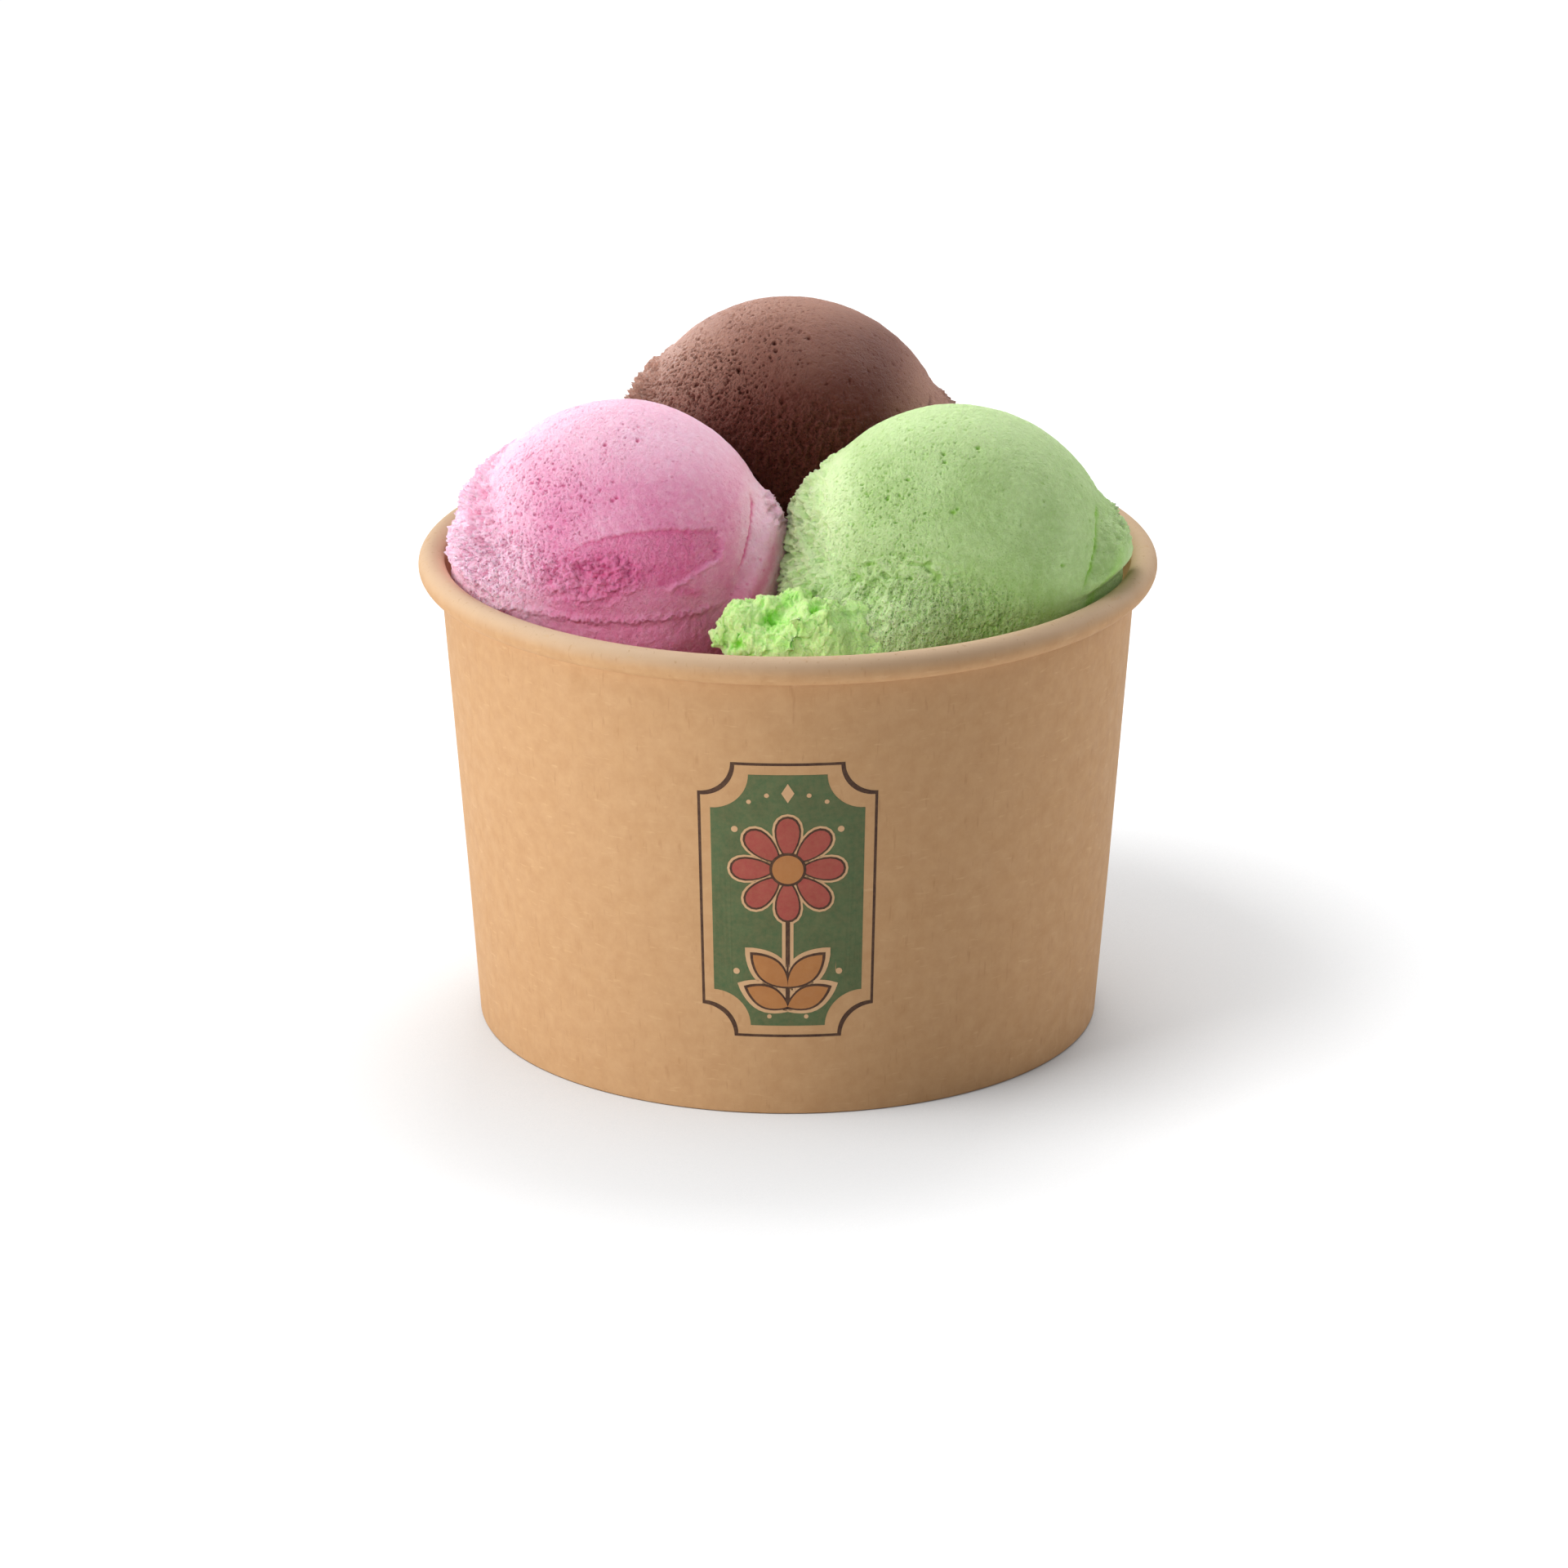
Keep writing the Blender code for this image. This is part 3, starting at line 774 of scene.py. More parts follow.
def waver(angle, z):
    """A cup's wall isn't quite round."""
    shape = np.sin(3 * angle + 0.7) + 0.6 * np.sin(5 * angle + 2.1 + z * 30)
    return WAVER * shape * min(1, z / 0.02) * min(1, (CUP_HEIGHT - z) / 0.01)


def paper_surface(angle, z):
    """Outer radius of the paper wall at an angle about the cup's axis and a height."""
    return wall_radius(z) + waver(angle, z) + seam_lift(angle)


def wall_angles():
    """Even steps about the axis, with a pair close together on either side of the seam's edge."""
    angles = SEAM_ANGLE + 2 * math.pi * np.arange(WALL_TURNS + 1) / WALL_TURNS
    angles[0] += SEAM_EDGE
    angles[-1] -= SEAM_EDGE
    return angles


def revolved(name, rings, material):
    """A closed surface from rings, outer side downwards. A ring is a radius and a height, and either
    may be one number or a number for each of the wall's angles."""
    angles = wall_angles()
    count = len(rings)
    points = np.empty((len(angles), count, 3))
    for j, (radius, height) in enumerate(rings):
        points[:, j, 0] = radius * np.cos(angles)
        points[:, j, 1] = radius * np.sin(angles)
        points[:, j, 2] = height
    faces = []
    for i in range(len(angles)):
        here, there = i * count, (i + 1) % len(angles) * count
        for j in range(count):
            k = (j + 1) % count
            faces.append((here + j, here + k, there + k, there + j))
    piece = new_piece(name, points.reshape(-1, 3), faces, material)
    piece.data.set_sharp_from_angle(angle=PAPER_SHARP_ANGLE)
    return piece


def make_wall(material):
    """The wall: a rolled rim, the outer face with its seam, the folded foot and the inner face."""
    angles = wall_angles()
    rings = []
    for turn in np.radians(np.linspace(BEAD_START, BEAD_END, BEAD_RINGS)):
        radius = BEAD_CENTRE_R + BEAD_RADIUS * math.cos(turn) + SEAM_ON_BEAD * seam_lift(angles)
        rings.append((radius, BEAD_CENTRE_Z + BEAD_RADIUS * math.sin(turn)))
    top = BEAD_CENTRE_Z + BEAD_RADIUS * math.sin(math.radians(BEAD_END)) - OUTER_DROP
    rings += [(paper_surface(angles, z), z) for z in np.linspace(top, FOLD_CORNER, OUTER_RINGS)]
    for turn in np.radians((25, 50, 75)):
        inwards = FOLD_CORNER * (1 - math.cos(turn))
        rings.append((paper_surface(angles, 0) - inwards, FOLD_CORNER * (1 - math.sin(turn))))
    hem_outer = PAPER + SKIRT_CHANNEL
    hem_inner = hem_outer + PAPER
    rings.append((wall_radius(0) - FOLD_CORNER, 0))
    rings.append((wall_radius(0) - hem_inner + FOLD_CORNER, 0))
    ribs = HEM_RIB_DEPTH * (0.5 + 0.5 * np.sin(angles * HEM_RIBS))
    for share in np.linspace(0, 1, HEM_RINGS):
        z = FOLD_CORNER + (HEM_HEIGHT - FOLD_CORNER) * share
        rings.append((wall_radius(z) - hem_inner + ribs * math.sin(math.pi * share), z))
    rings.append((wall_radius(HEM_HEIGHT) - hem_outer, HEM_HEIGHT))
    rings.append((wall_radius(PAPER) - hem_outer, PAPER))
    rings.append((wall_radius(PAPER) - PAPER, PAPER))
    for z in np.linspace(PAPER, BEAD_CENTRE_Z - INNER_DROP, INNER_RINGS + 1)[1:]:
        rings.append((wall_radius(z) - PAPER + waver(angles, z), z))
    piece = revolved("paper_wall", rings, material)
    height = np.array([vertex.co.z for vertex in piece.data.vertices])
    # Painted sheen on the top of the rolled rim
    paint(piece, stretched=ramp(height, BEAD_CENTRE_Z - 0.3 * BEAD_RADIUS, CUP_HEIGHT))
    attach(piece, "root")
    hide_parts("cup_wall")
    return piece


def make_base(material):
    """The raised base with its skirt: a disc that sags a little, and is pressed into ripples below."""
    inset = PAPER + GAP
    edge = wall_radius(BASE_HEIGHT) - inset
    middle = (BASE_HEIGHT + inset) / 2
    ripples = BASE_RIPPLE_DEPTH * np.sin(wall_angles() * BASE_RIPPLES)

    def sag(r):
        return BASE_SAG * max(0, 1 - (r / edge) ** 2)

    rings = []
    for i in range(1, BASE_STEPS + 1):
        r = (edge - PAPER) * i / BASE_STEPS
        rings.append((r, BASE_HEIGHT - sag(r)))
    rings.append((edge - PAPER * 0.15, BASE_HEIGHT - PAPER * 0.3))
    for z in (BASE_HEIGHT - PAPER, middle, inset):
        rings.append((wall_radius(z) - inset, z))
    for z in (inset, middle, BASE_HEIGHT - PAPER * 1.4):
        rings.append((wall_radius(z) - inset - PAPER, z))
    for i in range(BASE_STEPS, 0, -1):
        r = (edge - PAPER * 1.5) * i / BASE_STEPS
        rings.append((r, BASE_HEIGHT - PAPER - sag(r) - ripples * (i / BASE_STEPS) ** 6))
    piece = revolved("paper_base", rings, material)
    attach(piece, "root")
    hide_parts("cup_base")
    return piece


# Printed plaque on the front of the wall: across is measured along the paper, up from its centre

PLAQUE_HEIGHT = 0.0298  # of its centre, above the table
PLAQUE_HALF_WIDTH = 0.0112
PLAQUE_HALF_HEIGHT = 0.0189
PLAQUE_NOTCH = 0.0042
PLAQUE_MARGIN = 0.0016
LINE = 0.00036  # thickness of the frame
PRINT_LAYER = 0.000018
PRINT_STEP = 0.00066  # width of the strips that a print is cut into, to bend round the wall
PETALS = 8
ROSETTE = (0, 0.0044)
# Each pair of leaves: their root, lean, length and half width
LEAVES = (((0, -0.0118), 0.80, 0.0062, 0.0015), ((0, -0.0146), 1.12, 0.0058, 0.0014))
# Every part has a brown line round it, and a halo of plain paper round that
LEAF_LINE, LEAF_HALO = 0.00028, 0.00075  # margins
STEM_LINE, STEM_HALO = 0.00028, 0.000728  # half widths
STEM_FOOT, STEM_HEAD = -0.0150, -0.0020
# Where a petal starts, its length and half width
PETAL = (0.0019, 0.0051, 0.00175)
PETAL_LINE = (0.0016, 0.0057, 0.00205)
PETAL_HALO = (0.0014, 0.0062, 0.0024)
EYE, EYE_LINE, EYE_HALO = 0.00195, 0.0023, 0.0040  # radii
CORNER_DOTS = ((0.0066, 0.0098), (0.0066, -0.0098))
CORNER_DOT = 0.00042
BEADS = ((0.0026, 0.0145), (0.0048, 0.0136), (0.0024, -0.0160))
BEAD = 0.00030
DIAMOND = ((0, 0.0148), 0.0008, 0.0013)


def wrapped(point, layer):
    """A point of the flat print, laid on the cup's wall."""
    across, up = point
    z = PLAQUE_HEIGHT + up
    turn = across / wall_radius(PLAQUE_HEIGHT) - math.pi / 2
    radius = paper_surface(turn, z) + layer * PRINT_LAYER
    return radius * math.cos(turn), radius * math.sin(turn), z


def notched_outline(inset):
    """An upright plaque whose corners are scooped out, inset all round."""
    half_width = PLAQUE_HALF_WIDTH - inset
    half_height = PLAQUE_HALF_HEIGHT - inset
    notch = PLAQUE_NOTCH + inset * 0.35
    steps = 14
    outline = []
    for quarter in range(4):
        side_x = 1 if quarter in (0, 3) else -1
        side_y = 1 if quarter in (0, 1) else -1
        arc = []
        for i in range(steps + 1):
            angle = math.pi / 2 * i / steps
            x = side_x * (half_width - notch * math.cos(angle))
            arc.append((x, side_y * (half_height - notch * math.sin(angle))))
        outline += arc if quarter % 2 else arc[::-1]
    return outline


def beside(root, turn, along, aside):
    """The point that lies along a direction from a root, and aside to its left."""
    return (
        root[0] + along * math.cos(turn) - aside * math.sin(turn),
        root[1] + along * math.sin(turn) + aside * math.cos(turn),
    )


def petal_ring(start, length, half_width):
    """Round-tipped petals that point away from the middle of the rosette."""
    steps = 20
    petals = []
    for petal in range(PETALS):
        outline = []
        for i in range(steps):
            angle = 2 * math.pi * i / steps
            share = 0.5 - 0.5 * math.cos(angle)
            aside = half_width * math.sin(angle) * (0.55 + 0.45 * share)
            turn = 2 * math.pi * petal / PETALS
            outline.append(beside(ROSETTE, turn, start + length * share, aside))
        petals.append(outline)
    return petals


def leaves(grown):
    """Pointed leaves that lean away from each other, with their outlines grown by a margin."""
    steps = 12
    shares = [i / steps for i in range(steps)]
    outlines = []
    for root, lean, length, half_width in LEAVES:
        for turn in (math.pi / 2 - lean, math.pi / 2 + lean):
            outline = []
            for side, share in [(1, s) for s in shares] + [(-1, 1 - s) for s in shares]:
                along = -grown * 1.3 + (length + grown * 3.2) * share
                aside = side * (half_width + grown) * math.sin(math.pi * share) ** 0.85
                outline.append(beside(root, turn, along, aside))
            outlines.append(outline)
    return outlines


def stem(half_width):
    """The stem's outline."""
    corners = ((half_width, STEM_FOOT), (half_width, STEM_HEAD))
    return [*corners, *((-x, y) for x, y in corners[::-1])]


def disc_outline(centre, radius, steps=40):
    turns = (2 * math.pi * i / steps for i in range(steps))
    return [(centre[0] + radius * math.cos(t), centre[1] + radius * math.sin(t)) for t in turns]


def diamond_outline(centre, half_width, half_height):
    x, y = centre
    return [(x + half_width, y), (x, y + half_height), (x - half_width, y), (x, y - half_height)]


def mirrored(points):
    """Points on one side of the plaque's middle, and their mirror images."""
    return [*points, *((-x, y) for x, y in points)]


def flat_fill(bm, outline):
    bm.faces.new([bm.verts.new((x, y, 0)) for x, y in outline])


def flat_band(bm, outer, inner):
    """The area between two outlines with the same number of points."""
    rings = [[bm.verts.new((x, y, 0)) for x, y in loop] for loop in (outer, inner)]
    for i in range(len(outer)):
        k = (i + 1) % len(outer)
        bm.faces.new((rings[0][i], rings[0][k], rings[1][k], rings[1][i]))


def make_print(name, layer, material, fills=(), bands=()):
    """Flat shapes cut into narrow strips, laid on the wall and given a thin closed body."""
    bm = bmesh.new()
    for outline in fills:
        flat_fill(bm, outline)
    for outer, inner in bands:
        flat_band(bm, outer, inner)
    bmesh.ops.triangulate(bm, faces=bm.faces)
    count = int(PLAQUE_HALF_WIDTH / PRINT_STEP) + 1
    for i in range(-count, count + 1):
        everything = bm.verts[:] + bm.edges[:] + bm.faces[:]
        bmesh.ops.bisect_plane(
            bm, geom=everything, dist=1e-8, plane_co=(i * PRINT_STEP, 0, 0), plane_no=(1, 0, 0)
        )
    for face in bm.faces:
        if face.normal.z < 0:
            face.normal_flip()
    lower = {}
    for vertex in bm.verts[:]:
        lower[vertex] = bm.verts.new(wrapped(vertex.co.xy, -1))
    for face in bm.faces[:]:
        bm.faces.new([lower[v] for v in reversed(face.verts)])
    for edge in [e for e in bm.edges if len(e.link_faces) == 1 and e.verts[0] in lower]:
        face = edge.link_faces[0]
        a, b = edge.verts
        corners = list(face.verts)
        if corners[(corners.index(a) + 1) % len(corners)] is not b:
            a, b = b, a
        bm.faces.new((b, a, lower[a], lower[b]))
    for vertex in lower:
        vertex.co = wrapped(vertex.co.xy, layer)
    mesh = bpy.data.meshes.new(name)
    bm.to_mesh(mesh)
    bm.free()
    mesh.materials.append(material)
    piece = placed(name, mesh)
    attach(piece, "root")
    return piece


def make_plaque(inks):
    """A rosette over two pairs of leaves, on a green field inside a thin frame."""
    frame_lines = (notched_outline(0), notched_outline(LINE))
    halo = petal_ring(*PETAL_HALO) + [disc_outline(ROSETTE, EYE_HALO), stem(STEM_HALO)]
    halo += leaves(LEAF_HALO)
    marks = [disc_outline(dot, CORNER_DOT, 14) for dot in mirrored(CORNER_DOTS)]
    marks += [disc_outline(bead, BEAD, 12) for bead in mirrored(BEADS)]
    marks += [diamond_outline(*DIAMOND)]
    lines = petal_ring(*PETAL_LINE) + [stem(STEM_LINE)] + leaves(LEAF_LINE)
    return [
        make_print("plaque_field", 1, inks["green"], fills=[notched_outline(PLAQUE_MARGIN)]),
        make_print("plaque_frame", 1, inks["brown"], bands=[frame_lines]),
        make_print("plaque_halo", 2, inks["kraft"], fills=halo),
        make_print("plaque_marks", 2, inks["kraft"], fills=marks),
        make_print("plaque_lines", 3, inks["brown"], fills=lines),
        make_print("plaque_petals", 4, inks["pink"], fills=petal_ring(*PETAL)),
        make_print("plaque_leaves", 4, inks["ochre"], fills=leaves(0)),
        make_print("plaque_eye_line", 5, inks["brown"], fills=[disc_outline(ROSETTE, EYE_LINE)]),
        make_print("plaque_eye", 6, inks["ochre"], fills=[disc_outline(ROSETTE, EYE)]),
    ]


# Materials


# Pale (frost and painted light), usual and deep (painted shade) colour of each gelato, and how much
# and how far light passes through it
GELATO = {
    "strawberry_gelato": ((251, 206, 226), (230, 136, 178), (222, 88, 146), 0.35, (1.0, 0.45, 0.6)),
    "pistachio_gelato": ((217, 243, 181), (165, 196, 125), (140, 200, 62), 0.35, (0.6, 1.0, 0.35)),
    "chocolate_gelato": ((181, 137, 119), (138, 88, 74), (84, 31, 21), 0.12, (0.6, 0.3, 0.2)),
    # Paler than the scoop's colours: partly crumbly torn gelato, partly painted light on the tail
    "pistachio_torn_painted_light": ((216, 255, 168), (186, 222, 144), (130, 228, 46), 0.5, (0.6, 1.0, 0.35)),
}
# Colour of each ink, and how much of the paper it covers
INKS = {
    "green": ((66, 98, 60), 0.96),
    "brown": ((50, 20, 12), 0.97),
    "pink": ((164, 66, 62), 0.96),
    "ochre": ((180, 118, 62), 0.93),
    "kraft": ((220, 180, 138), 0.7),
}


def linear(colour):
    """A colour from 0 to 255, as shown, turned into the linear numbers that a shader takes."""
    shares = [part / 255 for part in colour]
    return tuple(c / 12.92 if c <= 0.04045 else ((c + 0.055) / 1.055) ** 2.4 for c in shares) + (1.0,)


class Shader:
    """A material's node tree, with short ways to add and join nodes."""

    def __init__(self, name):
        self.material = bpy.data.materials.new(name)
        self.material.use_nodes = True
        self.tree = self.material.node_tree
        self.surface = self.tree.nodes["Principled BSDF"]
        self.place = self.node("ShaderNodeTexCoord").outputs["Object"]

    def node(self, kind, inputs=(), **settings):
        node = self.tree.nodes.new(kind)
        for key, value in settings.items():
            setattr(node, key, value)
        for key, value in dict(inputs).items():
            self.feed(node.inputs[key], value)
        return node

    def feed(self, socket, value):
        if isinstance(value, bpy.types.NodeSocket):
            self.tree.links.new(value, socket)
        else:
            socket.default_value = value

    def noise(self, scale, detail=3, roughness=0.5, place=None):
        inputs = {"Scale": scale, "Detail": detail, "Roughness": roughness}
        node = self.node("ShaderNodeTexNoise", {"Vector": place or self.place, **inputs})
        return node.outputs["Fac"]

    def cells(self, scale):
        node = self.node("ShaderNodeTexVoronoi", {"Vector": self.place, "Scale": scale})
        return node.outputs["Distance"]

    def stretched(self, scale, rotation=(0, 0, 0)):
        inputs = {"Vector": self.place, "Scale": scale, "Rotation": rotation}
        return self.node("ShaderNodeMapping", inputs).outputs["Vector"]

    def span(self, value, low, high, to_low=0.0, to_high=1.0):
        node = self.node(
            "ShaderNodeMapRange",
            {"Value": value, "From Min": low, "From Max": high, "To Min": to_low, "To Max": to_high},
            clamp=True,
        )
        return node.outputs["Result"]

    def math(self, operation, first, second=0.0):
        node = self.node("ShaderNodeMath", operation=operation)
        self.feed(node.inputs[0], first)
        self.feed(node.inputs[1], second)
        return node.outputs["Value"]

    def mix(self, share, first, second, blend="MIX"):
        node = self.node("ShaderNodeMix", data_type="RGBA", blend_type=blend)
        self.feed(node.inputs[0], share)
        self.feed(node.inputs[6], first)
        self.feed(node.inputs[7], second)
        return node.outputs[2]

    def painted(self, name):
        return self.node("ShaderNodeAttribute", attribute_name=name).outputs["Fac"]

    def set(self, **values):
        for key, value in values.items():
            self.feed(self.surface.inputs[key.replace("_", " ")], value)

    def bump(self, *layers):
        """Chains bumps, each a (height, strength, distance) layer."""
        normal = None
        for height, strength, distance in layers:
            inputs = {"Height": height, "Strength": strength, "Distance": distance}
            if normal:
                inputs["Normal"] = normal
            normal = self.node("ShaderNodeBump", inputs).outputs["Normal"]
        self.feed(self.surface.inputs["Normal"], normal)


def gelato_material(name):
    """Frozen gelato: paler with frost, and with painted light on lit sides and crests that stand proud;
    deeper in colour with painted shade in its hollows.
    """
    *colours, subsurface, radius = GELATO[name]
    pale, body, deep = (linear(colour) for colour in colours)
    shader = Shader(name)
    # Painted shade, roughness, and paleness from frost and painted light, as painted on the mesh
    hollow = shader.painted("hollow")
    rough = shader.painted("rough")
    painted_light_and_frost = shader.painted("pale")
    cloud = shader.span(shader.noise(160, 4), 0.3, 0.7, 0.0, 0.35)
    speck = shader.span(shader.noise(1100, 5, 0.65), 0.42, 0.7, 0.0, 0.3)
    whiteness = shader.math("ADD", shader.math("MAXIMUM", painted_light_and_frost, cloud), speck)
    colour = shader.mix(shader.span(whiteness, 0, 1), body, pale)
    colour = shader.mix(shader.span(hollow, 0.0, 1.0, 0.0, 0.92), colour, deep)
    pits = shader.span(shader.cells(2100), 0.10, 0.42)
    tiny_pits = shader.span(shader.cells(4100), 0.10, 0.5)
    # Painted shade at the bottom of the fine pits, where the mesh is rough
    painted_pit_shade = shader.math("MULTIPLY", shader.span(pits, 0.5, 0.0), shader.span(rough, 0, 1, 0.18, 0.42))
    colour = shader.mix(painted_pit_shade, colour, deep)
    shader.set(
        Base_Color=colour,
        Roughness=shader.span(speck, 0, 0.3, 0.48, 0.66),
        Subsurface_Weight=subsurface,
        Subsurface_Radius=radius,
        Subsurface_Scale=0.001,
        Specular_IOR_Level=0.28,
        IOR=1.36,
    )
    shader.bump(
        (shader.noise(1600, 4, 0.65), 0.75, 0.0003),
        (pits, shader.span(rough, 0, 1, 0.22, 1.0), 0.00022),
        (tiny_pits, shader.span(rough, 0, 1, 0.3, 0.9), 0.0001),
        (shader.noise(3800, 4, 0.7), 0.8, 0.0002),
    )
    return shader.material


def kraft_colour(shader):
    """Unbleached paper: faint clouds, short fibres lighter and darker than the sheet, and a painted
    sheen on the top of the rolled rim.
    """
    sheet = linear((196, 152, 107))
    light = linear((212, 172, 128))
    dark = linear((176, 130, 86))
    # Colour of the painted sheen on the top of the rolled rim
    rim = linear((222, 193, 162))
    cloud = shader.noise(480, 5, 0.65)
    colour = shader.mix(shader.span(cloud, 0.3, 0.7), dark, light)
    colour = shader.mix(0.72, colour, sheet)
    colour = shader.mix(shader.span(shader.painted("stretched"), 0, 1, 0, 0.8), colour, rim)
    upright = shader.noise(1, 2, 0.5, shader.stretched((1900, 1900, 320)))
    level = shader.noise(1, 2, 0.5, shader.stretched((420, 420, 2100), (0.5, 0.3, 0)))
    colour = shader.mix(shader.span(upright, 0.64, 0.76, 0, 0.45), colour, dark)
    return shader.mix(shader.span(level, 0.64, 0.76, 0, 0.5), colour, light), upright, level


def kraft_material():
    shader = Shader("kraft_paper")
    colour, upright, level = kraft_colour(shader)
    shader.set(
        Base_Color=colour,
        Roughness=shader.span(shader.noise(500, 4), 0.3, 0.7, 0.62, 0.78),
        Specular_IOR_Level=0.3,
    )
    shader.bump(
        (shader.noise(140, 3), 0.12, 0.0006),
        (shader.noise(1500, 5, 0.7), 0.22, 0.00008),
        (upright, 0.2, 0.00005),
        (level, 0.2, 0.00005),
    )
    return shader.material


def ink_material(name):
    """Ink on kraft paper: the fibres show through it a little."""
    colour, cover = INKS[name]
    shader = Shader(f"ink_{name}")
    paper, upright, level = kraft_colour(shader)
    worn = shader.span(shader.noise(1300, 5, 0.7), 0.3, 0.75, cover, cover - 0.14)
    clouds = shader.span(shader.noise(400, 4), 0.3, 0.7, 0, 0.25)
    inked = shader.mix(clouds, linear(colour), paper, "MULTIPLY")
    shader.set(Base_Color=shader.mix(worn, paper, inked), Roughness=0.6, Specular_IOR_Level=0.3)
    shader.bump(
        (shader.noise(1500, 5, 0.7), 0.15, 0.00006),
        (upright, 0.15, 0.00004),
        (level, 0.15, 0.00004),
    )
    return shader.material


# Camera, light and floor

CAMERA_ELEVATION = math.radians(19.2)
CAMERA_DISTANCE = 0.99
LENS_MM = 173.06
SENSOR_MM = 36.0
CUP_CENTRE = Vector((0, 0, 0.03165))
AIM = Vector((-0.00050, 0, 0.03045))
WORLD_LIGHT = 0.01
WORLD_SEEN = 1.05
FLOOR_SIZE = 6
FLOOR_GLOW = 0.59
FLOOR_FALLOFF = 1.4  # how fast the glow fades where something stands near
FLOOR_OPEN = 0.28  # how far round a place on the floor has to be clear for its full glow
LAMP_HEIGHT = 0.45
LAMP_DISTANCE = 0.9
# Name, azimuth, elevation, width and power of each light. Paper, gelato and floor have their own, and
# so have the strawberry scoop with its bed, and the tail.
LIGHTS = {
    "cup": (
        ("cup_left_low", -68, 8, 0.6, 7.2),
        ("cup_left_high", -60, 60, 0.45, 1.9),
        ("cup_back", -150, 60, 0.45, 4.4),
        ("cup_right", 110, 32, 0.5, 3.5),
    ),
    "gelato": (
        ("gelato_left", -65, 22, 0.6, 4.9),
        ("gelato_back_left", -118, 35, 0.5, 3.4),
        ("gelato_back_low", -150, 14, 0.6, 4.7),
        ("gelato_back_right", 142, 35, 0.6, 5.2),
        ("gelato_front", -12, 32, 0.6, 2.1),
        ("gelato_right", 62, 18, 0.45, 1.35),
        ("gelato_top", -150, 65, 0.45, 2.6),
    ),
    "strawberry": (("strawberry_right", 45, 30, 0.45, 0.7),),
    "tail": (("tail_front", 0, 30, 0.45, 1.1),),
    "floor": (
        ("floor_left", -60, 60, 0.45, 8.3),
        ("floor_back", 168, 60, 0.45, 5.5),
    ),
}


def make_camera():
    camera = placed("camera", bpy.data.cameras.new("camera"))
    away = Vector((0, -math.cos(CAMERA_ELEVATION), math.sin(CAMERA_ELEVATION)))
    camera.location = CUP_CENTRE + away * CAMERA_DISTANCE
    camera.rotation_euler = (AIM - camera.location).to_track_quat("-Z", "Y").to_euler()
    camera.data.lens = LENS_MM
    camera.data.sensor_width = SENSOR_MM
    camera.data.clip_start = 0.01
    bpy.context.scene.camera = camera


def area_light(name, azimuth, elevation, width, power):
    """A soft light that faces the cup. Azimuth 0 is in front of the cup, and 90 is at its right."""
    light = bpy.data.lights.new(name, "AREA")
    light.shape = "RECTANGLE"
    light.size = width
    light.size_y = LAMP_HEIGHT
    light.energy = power
    lamp = placed(name, light)
    across, up = math.radians(azimuth), math.radians(elevation)
    towards = Vector((math.sin(across) * math.cos(up), -math.cos(across) * math.cos(up), math.sin(up)))
    lamp.location = CUP_CENTRE + towards * LAMP_DISTANCE
    lamp.rotation_euler = (-towards).to_track_quat("-Z", "Y").to_euler()
    return lamp


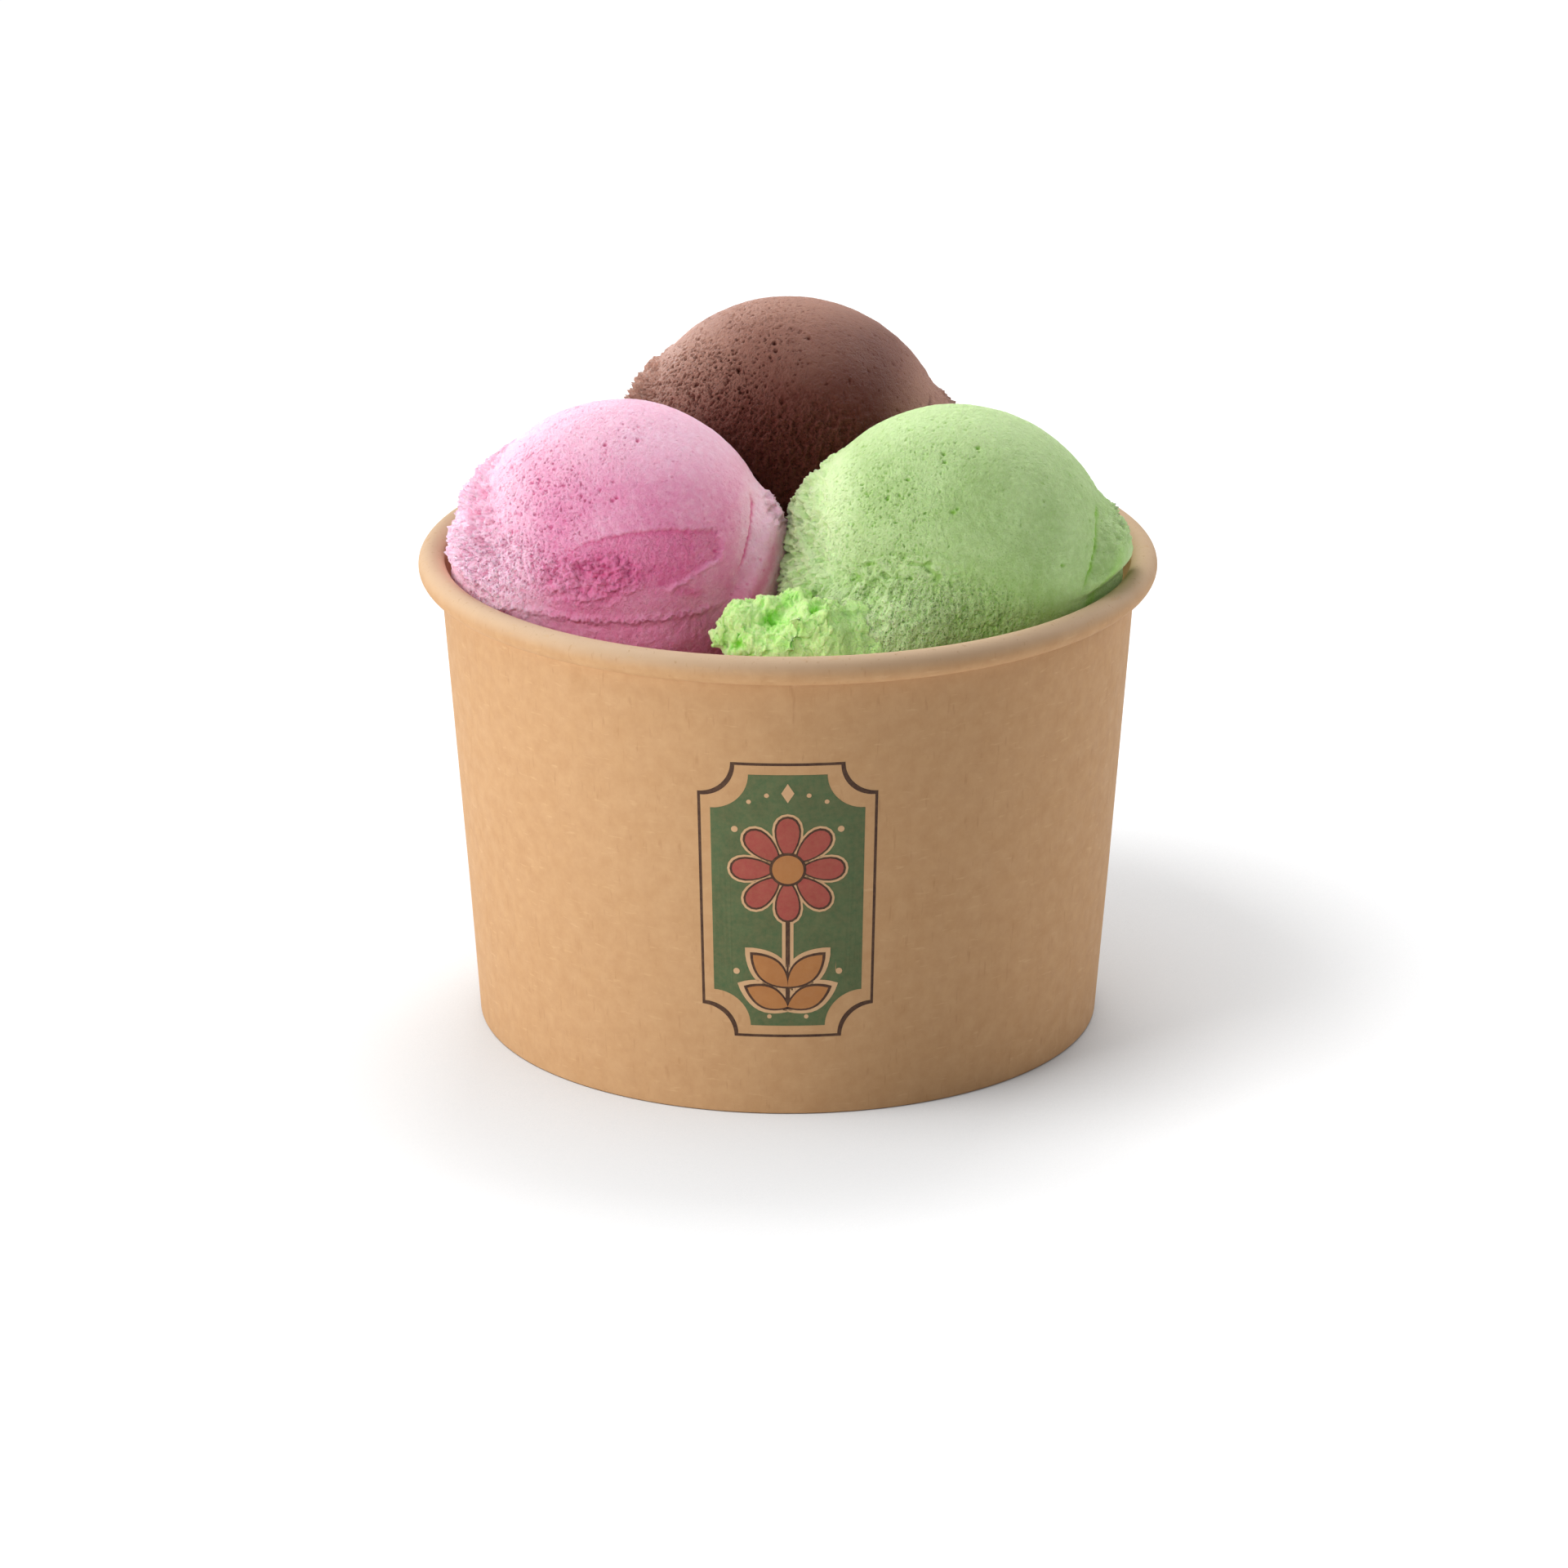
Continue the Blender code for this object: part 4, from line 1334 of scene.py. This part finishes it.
def make_world():
    """Soft light from all round. Seen directly, it's plain white."""
    world = bpy.data.worlds.new("studio")
    bpy.context.scene.world = world
    world.use_nodes = True
    tree = world.node_tree
    light = tree.nodes["Background"]
    light.inputs["Color"].default_value = (1, 1, 1, 1)
    light.inputs["Strength"].default_value = WORLD_LIGHT
    white = tree.nodes.new("ShaderNodeBackground")
    white.inputs["Strength"].default_value = WORLD_SEEN
    seen = tree.nodes.new("ShaderNodeLightPath")
    mix = tree.nodes.new("ShaderNodeMixShader")
    tree.links.new(seen.outputs["Is Camera Ray"], mix.inputs[0])
    tree.links.new(light.outputs[0], mix.inputs[1])
    tree.links.new(white.outputs[0], mix.inputs[2])
    tree.links.new(mix.outputs[0], tree.nodes["World Output"].inputs["Surface"])


def make_lights(lit_pieces):
    """Each group of lights shines on its own pieces, which all cast shadows."""
    for group, lamps in LIGHTS.items():
        lit = bpy.data.collections.new(f"lit_{group}")
        for piece in lit_pieces[group]:
            lit.objects.link(piece)
        for lamp in lamps:
            area_light(*lamp).light_linking.receiver_collection = lit


def floor_material():
    """A white sweep. It glows where nothing stands near it, and fades to a painted soft shadow where
    something does, so that its shadows stay light and soft.
    """
    shader = Shader("white_sweep")
    shader.tree.nodes.remove(shader.surface)
    clear = shader.node("ShaderNodeAmbientOcclusion", {"Distance": FLOOR_OPEN}, samples=4)
    share = shader.math("POWER", clear.outputs["AO"], FLOOR_FALLOFF)
    strength = shader.math("MULTIPLY", share, FLOOR_GLOW)
    glow = shader.node("ShaderNodeEmission", {"Color": (0.97, 0.985, 1, 1), "Strength": strength})
    coat = shader.node("ShaderNodeBsdfDiffuse", {"Color": (0.5, 0.5, 0.5, 1)})
    both = shader.node("ShaderNodeAddShader", {0: glow.outputs[0], 1: coat.outputs[0]})
    shader.feed(shader.tree.nodes["Material Output"].inputs["Surface"], both.outputs[0])
    return shader.material


def make_floor():
    bpy.ops.mesh.primitive_plane_add(size=FLOOR_SIZE)
    floor = bpy.context.object
    floor.name = "floor"
    floor.data.materials.append(floor_material())
    return floor


# The whole object

kraft = kraft_material()
cup = [make_wall(kraft), make_base(kraft)]
gelato = [make_tail(gelato_material("pistachio_torn_painted_light"))]
for flavour in SCOOPS:
    material = gelato_material(f"{flavour}_gelato")
    gelato += [make_scoop(flavour, material), make_bed(flavour, material)]
cup += make_plaque({ink: ink_material(ink) for ink in INKS})

bpy.context.scene.view_settings.view_transform = "Standard"
make_camera()
make_world()
make_lights(
    {
        "cup": cup,
        "gelato": gelato,
        "strawberry": gelato[1:3],
        "tail": gelato[:1],
        "floor": [make_floor()],
    }
)
